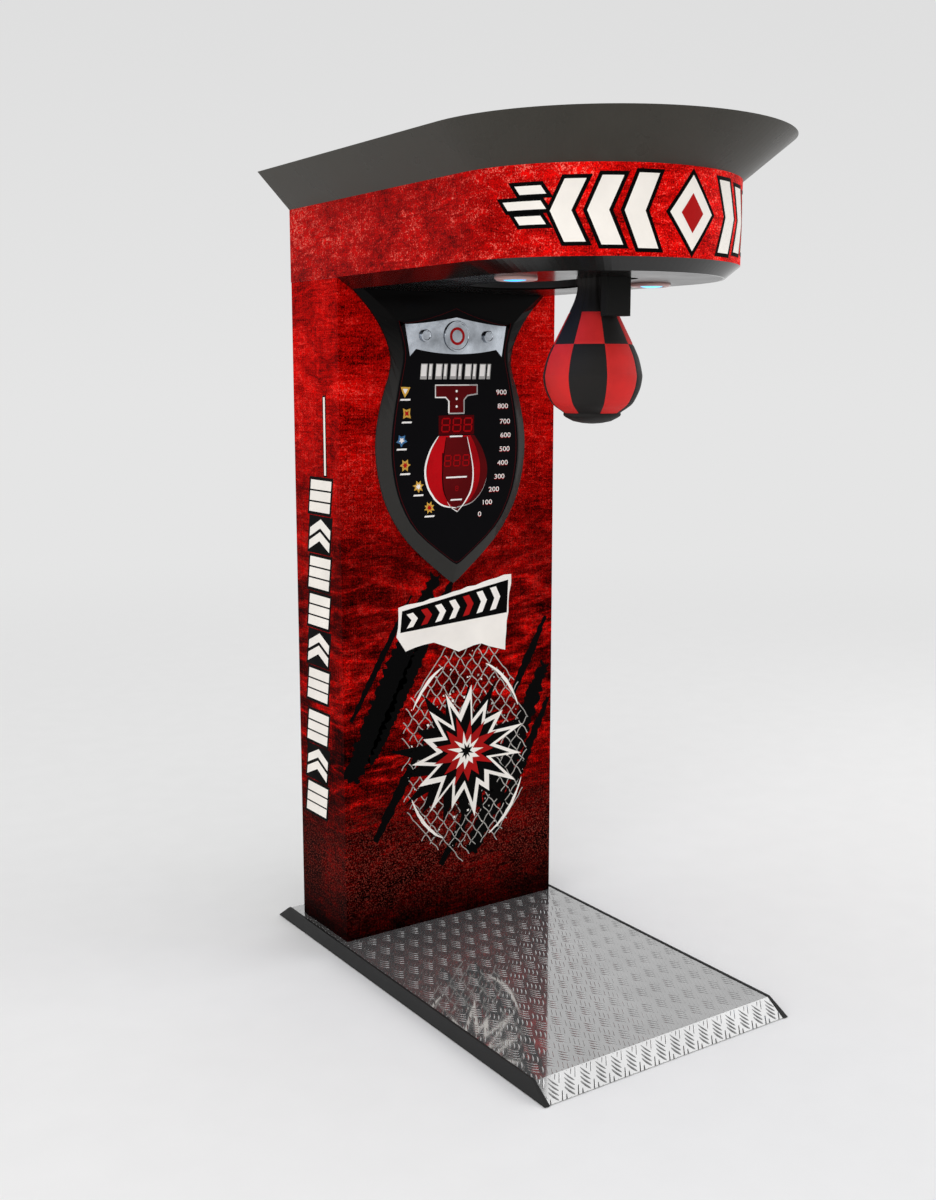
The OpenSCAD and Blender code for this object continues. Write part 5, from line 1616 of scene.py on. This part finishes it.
def diamond(u: float, v: float, width: float, height: float) -> Outline:
    """Outline of a diamond round its middle."""
    return [(u - width / 2, v), (u, v - height / 2), (u + width / 2, v), (u, v + height / 2)]


@dataclass
class ColumnPrint:
    """Generic print on the column: strokes, banner, wire mesh and impact star on its front, bars on its side."""

    middle: Point = (45.0, 505.0)
    mesh: Point = (205.0, 300.0)
    pitch: float = 30.0
    half_width: float = 325.0
    splashes: int = 150
    tile: Point = (112.0, 84.0)
    first_tile: Point = (-502.0, 352.0)
    rule_span: Point = (1330.0, 1482.0)

    def strokes(self, art: Print) -> None:
        """Brush dry black strokes across the front from the lower left to the upper right.

        Args:
            art: The print.
        """
        for seed, (start, end, width) in enumerate((
                ((-322, 478), (-52, 1010), 74), ((-262, 520), (-2, 985), 40), ((-318, 640), (-130, 960), 18),
                ((60, 205), (322, 726), 70), ((140, 250), (330, 620), 34), ((-40, 190), (150, 470), 30),
                ((-250, 300), (-90, 560), 30), ((200, 640), (318, 860), 26))):
            line = [tuple(Vector(start).lerp(Vector(end), k / 24)) for k in range(25)]
            shape = ribbon(line, lambda t, w=width: w * (0.25 + 0.75 * math.sin(math.pi * min(1, 0.15 + 0.8 * t))))
            art.lay([ragged(shape, 7, width * 0.11, 40 + seed)], BLACK_INK, 0.25)

    def wires(self, art: Print) -> None:
        """Draw a patch of wire mesh, cut off by an ellipse round the star.

        Args:
            art: The print.
        """
        (cx, cz), (rx, rz) = self.middle, self.mesh
        last = int(math.hypot(rx, rz) / self.pitch)
        for slope in (-1.0, 1.0):
            run = Vector((1.0, slope * 1.25)).normalized()
            side = Vector((-run.y, run.x))
            for i in range(-last, last + 1):
                base = Vector((cx, cz)) + side * (i * self.pitch)
                inside = [base + run * t for t in range(-340, 341, 6)
                          if ((base + run * t).x - cx) ** 2 / rx ** 2 + ((base + run * t).y - cz) ** 2 / rz ** 2
                          < 1 - 0.16 * math.sin(t * 0.05 + i)]
                if len(inside) > 2:
                    wave = [tuple(p + side * (1.6 * math.sin(k * 0.9))) for k, p in enumerate(inside)]
                    art.lay([ribbon(wave, 2.7)], GREY_INK, 0.45)

    def star(self, art: Print) -> None:
        """Lay the impact star in six layers, with arcs round it and splashes thrown off it.

        Args:
            art: The print.
        """
        c = self.middle
        for i, (ink, form) in enumerate((
                (BLACK_INK, ((c[0] - 18, c[1] - 10), 17, (105, 140), (170, 235), 5, 8)),
                (WHITE_INK, (c, 15, (88, 112), (150, 205), 11, 3)), (BLACK_INK, (c, 15, (70, 88), (118, 160), 11, 3)),
                (RED_INK, (c, 13, (46, 60), (82, 116), 23, 12)), (WHITE_INK, (c, 11, (22, 30), (44, 66), 31, 20)),
                (BLACK_INK, (c, 9, (9, 13), (20, 27), 37, 5)))):
            art.lay([burst(*form)], ink, 0.65 + 0.2 * i)
        for radius, first, last in ((238, 25, 70), (248, 112, 150), (240, 205, 248), (252, 292, 338)):
            line = [(c[0] + 0.82 * u, c[1] + 1.08 * v) for u, v in polar(radius, range(first, last + 1, 3))]
            art.lay([ragged(ribbon(line, lambda t: 1.5 + 8 * math.sin(math.pi * t)), 8, 0.9, first)], WHITE_INK, 0.85)
        dice = random.Random(3)
        for i in range(self.splashes):
            angle, far = dice.uniform(0, 2 * math.pi), dice.uniform(125, 285)
            spot = (c[0] + 0.75 * far * math.cos(angle), c[1] + far * math.sin(angle))
            size = dice.uniform(1.5, 6.5) * (1.2 - far / 330)
            if abs(spot[0]) < self.half_width:
                art.lay([burst(spot, 4, (size * 0.6, size * 0.8), (size, size * 1.6), i)],
                        (WHITE_INK, GREY_INK, BLACK_INK)[i % 3], 0.65)

    def banner(self, art: Print) -> None:
        """Lay a slanted banner: a white plate with a torn foot, a black field and a row of chevrons.

        Args:
            art: The print.
        """
        plate = [(-178, 852), (-150, 812), (-60, 826), (20, 790), (96, 806), (176, 778), (196, 992), (-168, 930)]
        art.lay([ragged(plate, 24, 3.2, 61)], WHITE_INK, 0.85)
        art.lay([[(-166, 862), (182, 884), (186, 976), (-160, 920)]], BLACK_INK, 1.05)
        for i in range(7):
            u = -146 + i * 45
            v = 891 + 0.13 * (u + 146)
            art.lay([[(x, z + 0.16 * (x - u)) for x, z in chevron(u, v, 20, 38 + 4.2 * i, 15)]],
                    RED_INK if i % 3 == 1 else WHITE_INK, 1.25)

    def side(self, face: Face, x: float, hand: int, tiles: int) -> None:
        """Lay a thin rule and a ladder of slanted bars up one side.

        Args:
            face: The side.
            x: Where its face is, in millimetres.
            hand: 1 where u runs towards the front, -1 where it runs towards the rear.
            tiles: Number of tiles, from the foot.
        """
        art = Print(face, (x, 0, 0))

        def laid(shape: Line, ink: Finish, thick: float) -> None:
            """Lay a shape, mirrored on the side where u runs towards the rear."""
            art.lay([[(hand * u, v) for u, v in shape][::hand]], ink, thick)

        start, level = self.first_tile
        wide, high = self.tile
        for i in range(tiles):
            u = start + i * 6.0
            laid(grown(slanted(u, level, wide, high, 14), 8), BLACK_INK, 0.3)
            if i % 3 == 1:
                rise = [(0, 0), (wide / 2, 26), (wide, 0), (wide, 24), (wide / 2, 50), (0, 24)]
                for step in (0, 34):
                    laid([(u + a + 0.17 * (b + step), level + b + step) for a, b in rise], WHITE_INK, 0.6)
            else:
                for k in range(3):
                    laid(slanted(u + 5 * k, level + 29.5 * k, wide, 25, 4), WHITE_INK, 0.6)
            level += high + (34 if i == 2 else 18)
        foot, top = self.rule_span
        foot = level - 4 if hand > 0 else foot
        rule = [(-366, foot), (-357, foot), (-357, top), (-366, top)]
        laid(grown(rule, 4), BLACK_INK, 0.3)
        laid(rule, WHITE_INK, 0.6)
        art.finish(f"side_print_{face.name.lower()}")

    def build(self) -> None:
        """Lay the print on the front and on both sides."""
        art = Print(Face.FRONT, (0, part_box("column_front")[0].y / MM, 0))
        for step in (self.strokes, self.wires, self.star, self.banner):
            step(art)
        art.finish("front_print")
        self.side(Face.LEFT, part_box("column_side_left")[0].x / MM, 1, 9)
        self.side(Face.RIGHT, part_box("column_side_right")[1].x / MM, -1, 5)


@dataclass
class HeadPrint:
    """Chevrons and speed bars wrapped round the head's fascia, at distances in millimetres from its middle."""

    step: float = 12.0
    beyond: int = 20
    chevrons: Point = (84.0, 160.0, 236.0)
    bars: float = 318.0

    def __post_init__(self) -> None:
        """Read the fascia's round from its solid."""
        low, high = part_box("fascia")
        self.radius = (high.x - low.x) / 2 / MM
        self.middle = low.y / MM + self.radius
        self.level = (low.z + high.z) / 2 / MM - 2

    def wrap(self, piece: Object) -> None:
        """Cut a flat piece at regular steps and wrap it round the fascia; u runs from the left side's front end.

        Args:
            piece: The piece.
        """
        last = math.pi * self.radius
        with editing(piece):
            u = -self.beyond * self.step
            while u < last + self.beyond * self.step:
                bpy.ops.mesh.select_all(action="SELECT")
                bpy.ops.mesh.bisect(plane_co=(u * MM, 0, 0), plane_no=(1, 0, 0))
                u += self.step
        for vertex in piece.data.vertices:
            u, v, lift = (c / MM for c in vertex.co)
            angle = min(max(u / self.radius, 0.0), math.pi)
            straight = abs(u - angle * self.radius)
            reach = self.radius + lift
            y = self.middle - reach * math.sin(angle) + straight
            vertex.co = (-reach * math.cos(angle) * MM, y * MM, v * MM)

    def build(self) -> None:
        """Lay a mirrored row of chevrons and bars round the front, and a diamond in its middle."""
        art = Print(Face.FRONT, (0, 0, 0), slot="printed_sheet")
        centre, v = math.pi * self.radius / 2, self.level
        shapes = []
        for side in (-1, 1):
            flat = [(start, chevron(0, v, 44, 148 - 12 * i, 30)) for i, start in enumerate(self.chevrons)]
            flat += [(self.bars, slanted(0, v + dz, length, 17, 12)) for dz, length in ((34, 58), (4, 86), (-26, 58))]
            shapes += [[(centre + side * (start + x), z) for x, z in shape][::side] for start, shape in flat]
        for shape in shapes + [diamond(centre, v, 116, 152)]:
            art.lay([grown(shape, 8)], BLACK_INK, 0.3)
            art.lay([shape], WHITE_INK, 0.6)
        art.lay([diamond(centre, v, 60, 80)], RED_INK, 0.9)
        art.finish("head_print", self.wrap)


@dataclass
class Display:
    """Print and digits on the shield's panel."""

    face_half: Line = ((718, 0), (698, 31), (620, 129), (543, 178), (465, 200), (388, 205), (310, 196), (233, 180),
                       (155, 166), (76, 186))
    underside: float = 1750.0
    numbers: Line = ((145, 1492), (150, 1455), (157, 1414), (159, 1377), (156, 1340), (150, 1303), (139, 1266),
                     (121, 1232), (98, 1198), (74, 1167))
    icons: Line = ((-158, 1498), (-154, 1440), (-170, 1371), (-160, 1307), (-120, 1250), (-86, 1193))
    lamp: Line = ((0.57, 0.0), (0.84, 0.2), (1.0, 0.47), (0.88, 0.74), (0.5, 0.94), (0.0, 1.0))

    def edge_line(self, art: Print) -> None:
        """Print a thin line inside the panel's edge.

        Args:
            art: The print.
        """
        def loop(inset: float) -> Outline:
            """Return the panel's outline moved in.

            Args:
                inset: How far the outline moves in, in millimetres.

            Returns:
                The outline.
            """
            side = curve_through([(max(x - inset, 0), self.underside - z + (inset if i == 0 else 0))
                                  for i, (z, x) in enumerate(self.face_half)], 4)
            x, z = side[-1]
            shares = [1 - k / 10 for k in range(1, 20)]
            rise = [(x * s, z - inset * 0.7 + 42 * (1 - abs(s)) ** 1.6) for s in shares]
            return side + rise + [(-x, z) for x, z in side[:0:-1]]

        art.lay([loop(10), loop(11)], DARK_RED_INK, 0.3)

    def heading(self, art: Print) -> None:
        """Print a row of slanted silver bars above the lamp.

        Args:
            art: The print.
        """
        for i in range(5):
            u = -113 + i * 46
            for shift, width in ((0, 20), (25, 11)):
                art.lay([slanted(u + shift, 1527, width, 40, 4)], GREY_INK, 0.3)
                art.lay([slanted(u + shift + 2, 1535, width - 4, 30, 3)], WHITE_INK, 0.5)

    def bracket(self, art: Print) -> None:
        """Print the small picture of the bag's bracket.

        Args:
            art: The print.
        """
        shape = [(-22, 1440), (22, 1440), (22, 1474), (34, 1486), (64, 1490), (64, 1510), (-64, 1510), (-64, 1482),
                 (-34, 1482), (-22, 1470)]
        art.lay([grown(shape, 3.5)], GREY_INK, 0.3)
        art.lay([shape], DARK_RED_INK, 0.7)
        edge = [(-24, 1440), (-24, 1472), (-34, 1480), (-66, 1480), (-66, 1512), (40, 1512)]
        art.lay([ribbon(edge, lambda t: 5.4 - 3.6 * t)], WHITE_INK, 0.5)
        for v in (1496, 1476, 1456):
            art.lay([polar(3.4, range(0, 360, 36), (0, v))], WHITE_INK, 0.9)

    def badge(self, art: Print, i: int, u: float, v: float) -> None:
        """Print one plain badge of a level, with a bar under it.

        Args:
            art: The print.
            i: The level's number, from the top.
            u: The badge's middle across the panel, in millimetres.
            v: Its middle up the panel.
        """
        points = 3 + i
        art.lay([burst((u, v), points, (9, 10), (16, 18), i, 90)], YELLOW_INK if i != 2 else BLUE_INK, 0.3)
        art.lay([burst((u, v), points, (4, 5), (8, 9), i, 90)], RED_INK if i % 2 else WHITE_INK, 0.5)
        art.lay([slanted(u - 16, v - 25, 30, 4.5, 2)], WHITE_INK, 0.3)

    def eights(self, art: Print, count: int, middle: float, width: float, height: float, pitch: float) -> None:
        """Light all seven segments of a row of digits.

        Args:
            art: The print.
            count: Number of digits.
            middle: Height of their middle in millimetres.
            width: Width of a digit.
            height: Height of a digit.
            pitch: Distance from digit to digit.
        """
        half, t, gap = height / 2, width * 0.17 / 2, width * 0.03
        z0 = middle - half
        for i in range(count):
            x0 = (i - (count - 1) / 2) * pitch - width / 2
            for column, row, upright in ((0, 2, 0), (1, 1, 1), (1, 0, 1), (0, 0, 0), (0, 0, 1), (0, 1, 1), (0, 1, 0)):
                run = Vector((0, 1)) if upright else Vector((1, 0))
                side = Vector((-run.y, run.x)) * t
                start = Vector((x0 + column * width, z0 + row * half))
                a, b = start + run * gap, start + run * ((half if upright else width) - gap)
                shape = [a, a + run * t - side, b - run * t - side, b, b - run * t + side, a + run * t + side]
                art.lay([[(p.x + 0.08 * (p.y - z0), p.y) for p in shape]], SEGMENT, 0.3)

    def lamp_lines(self, art: Print) -> None:
        """Lay pale lines and deep red bands on the flat lamp: painted highlights and painted shade that make it look
        round.

        Args:
            art: The print.
        """
        low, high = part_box("lamp_lens")
        half, top, drop = high.x / MM, high.z / MM, (high.z - low.z) / MM
        side = curve_through([(u * half, top - v * drop) for u, v in self.lamp], 6)
        outer = [(-x * 1.03 - 1, z - (2 if i > 20 else 0)) for i, (x, z) in enumerate(side)]
        right = [(x * 1.03 + 1, z) for x, z in side]
        inner = curve_through([(34, 1376), (52, 1296), (48, 1240), (27, 1204), (2, 1178)], 6)
        foot = curve_through([(-30, 1206), (-18, 1190), (2, 1178)], 4)
        crease = curve_through([(-33, 1376), (-44, 1296), (-42, 1240), (-28, 1206)], 6)
        # Painted highlights in white and grey along the lamp's edges and inner curve, and a painted shade line in
        # black along its crease
        for line, width, ink, thick in (
                (outer, lambda t: 1.4 + 4.4 * math.sin(math.pi * t) ** 0.7, WHITE_INK, 0.5),
                (right[len(right) // 2:], lambda t: 0.5 + 2.6 * t, GREY_INK, 0.3),
                (inner, lambda t: 1.2 + 3.2 * math.sin(math.pi * t), WHITE_INK, 0.5),
                (foot, lambda t: 0.6 + 2.4 * t, WHITE_INK, 0.5),
                (crease, lambda t: 1.0 + 2.6 * math.sin(math.pi * t), BLACK_INK, 0.3)):
            art.lay([ribbon(line, width)], ink, thick)
        # Painted shade: a deep red band down the lamp's right side, and a deep red fill over its middle panel
        shade = right + [(x * 0.8, z + 2) for x, z in side[::-1]]
        art.lay([shade[::-1]], DARK_RED_INK, 0.25)
        art.lay([crease + inner[::-1]], DARK_RED_INK, 0.25)
        for u, v, width in ((-22, 1376, 40), (-34, 1268, 66), (-20, 1208, 36)):
            art.lay([slanted(u, v, width, 4, 1)], WHITE_INK, 0.5)

    def build(self) -> None:
        """Print the panel and light its digits."""
        low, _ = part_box("shield_panel")
        art = Print(Face.FRONT, (0, low.y / MM, 0), slot="display_panel")
        for step in (self.edge_line, self.heading, self.bracket):
            step(art)
        for i, (u, v) in enumerate(self.icons):
            self.badge(art, i, u, v)
        for i, (u, v) in enumerate(self.numbers):
            art.number(str(900 - 100 * i), u, v - 2.0, 18, RED_INK, 0.3)
            art.number(str(900 - 100 * i), u, v, 18, WHITE_INK, 0.5)
        self.lamp_lines(art)
        for row in ((3, 1408, 24, 34, 35), (3, 1314, 19, 28, 29), (1, 1240, 8, 12, 12)):
            self.eights(art, *row)
        art.finish("display_print")


def main() -> None:
    """Build and dress the machine, sub-assembly by sub-assembly."""
    logging.basicConfig(level=logging.INFO, format="%(name)s %(message)s")
    studio = Studio()
    for step in (studio.camera, studio.lights, studio.world, studio.floor):
        step()
    for finish, nodes in DRESSED.items():
        for node in nodes.split():
            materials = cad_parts[node].data.materials
            materials.clear()
            materials.append(finish.material())
    for part in (Platform(), Bag(), ColumnPrint(), HeadPrint(), Display(), Crest(), Fittings()):
        part.build()


if __name__ == "__main__":
    main()
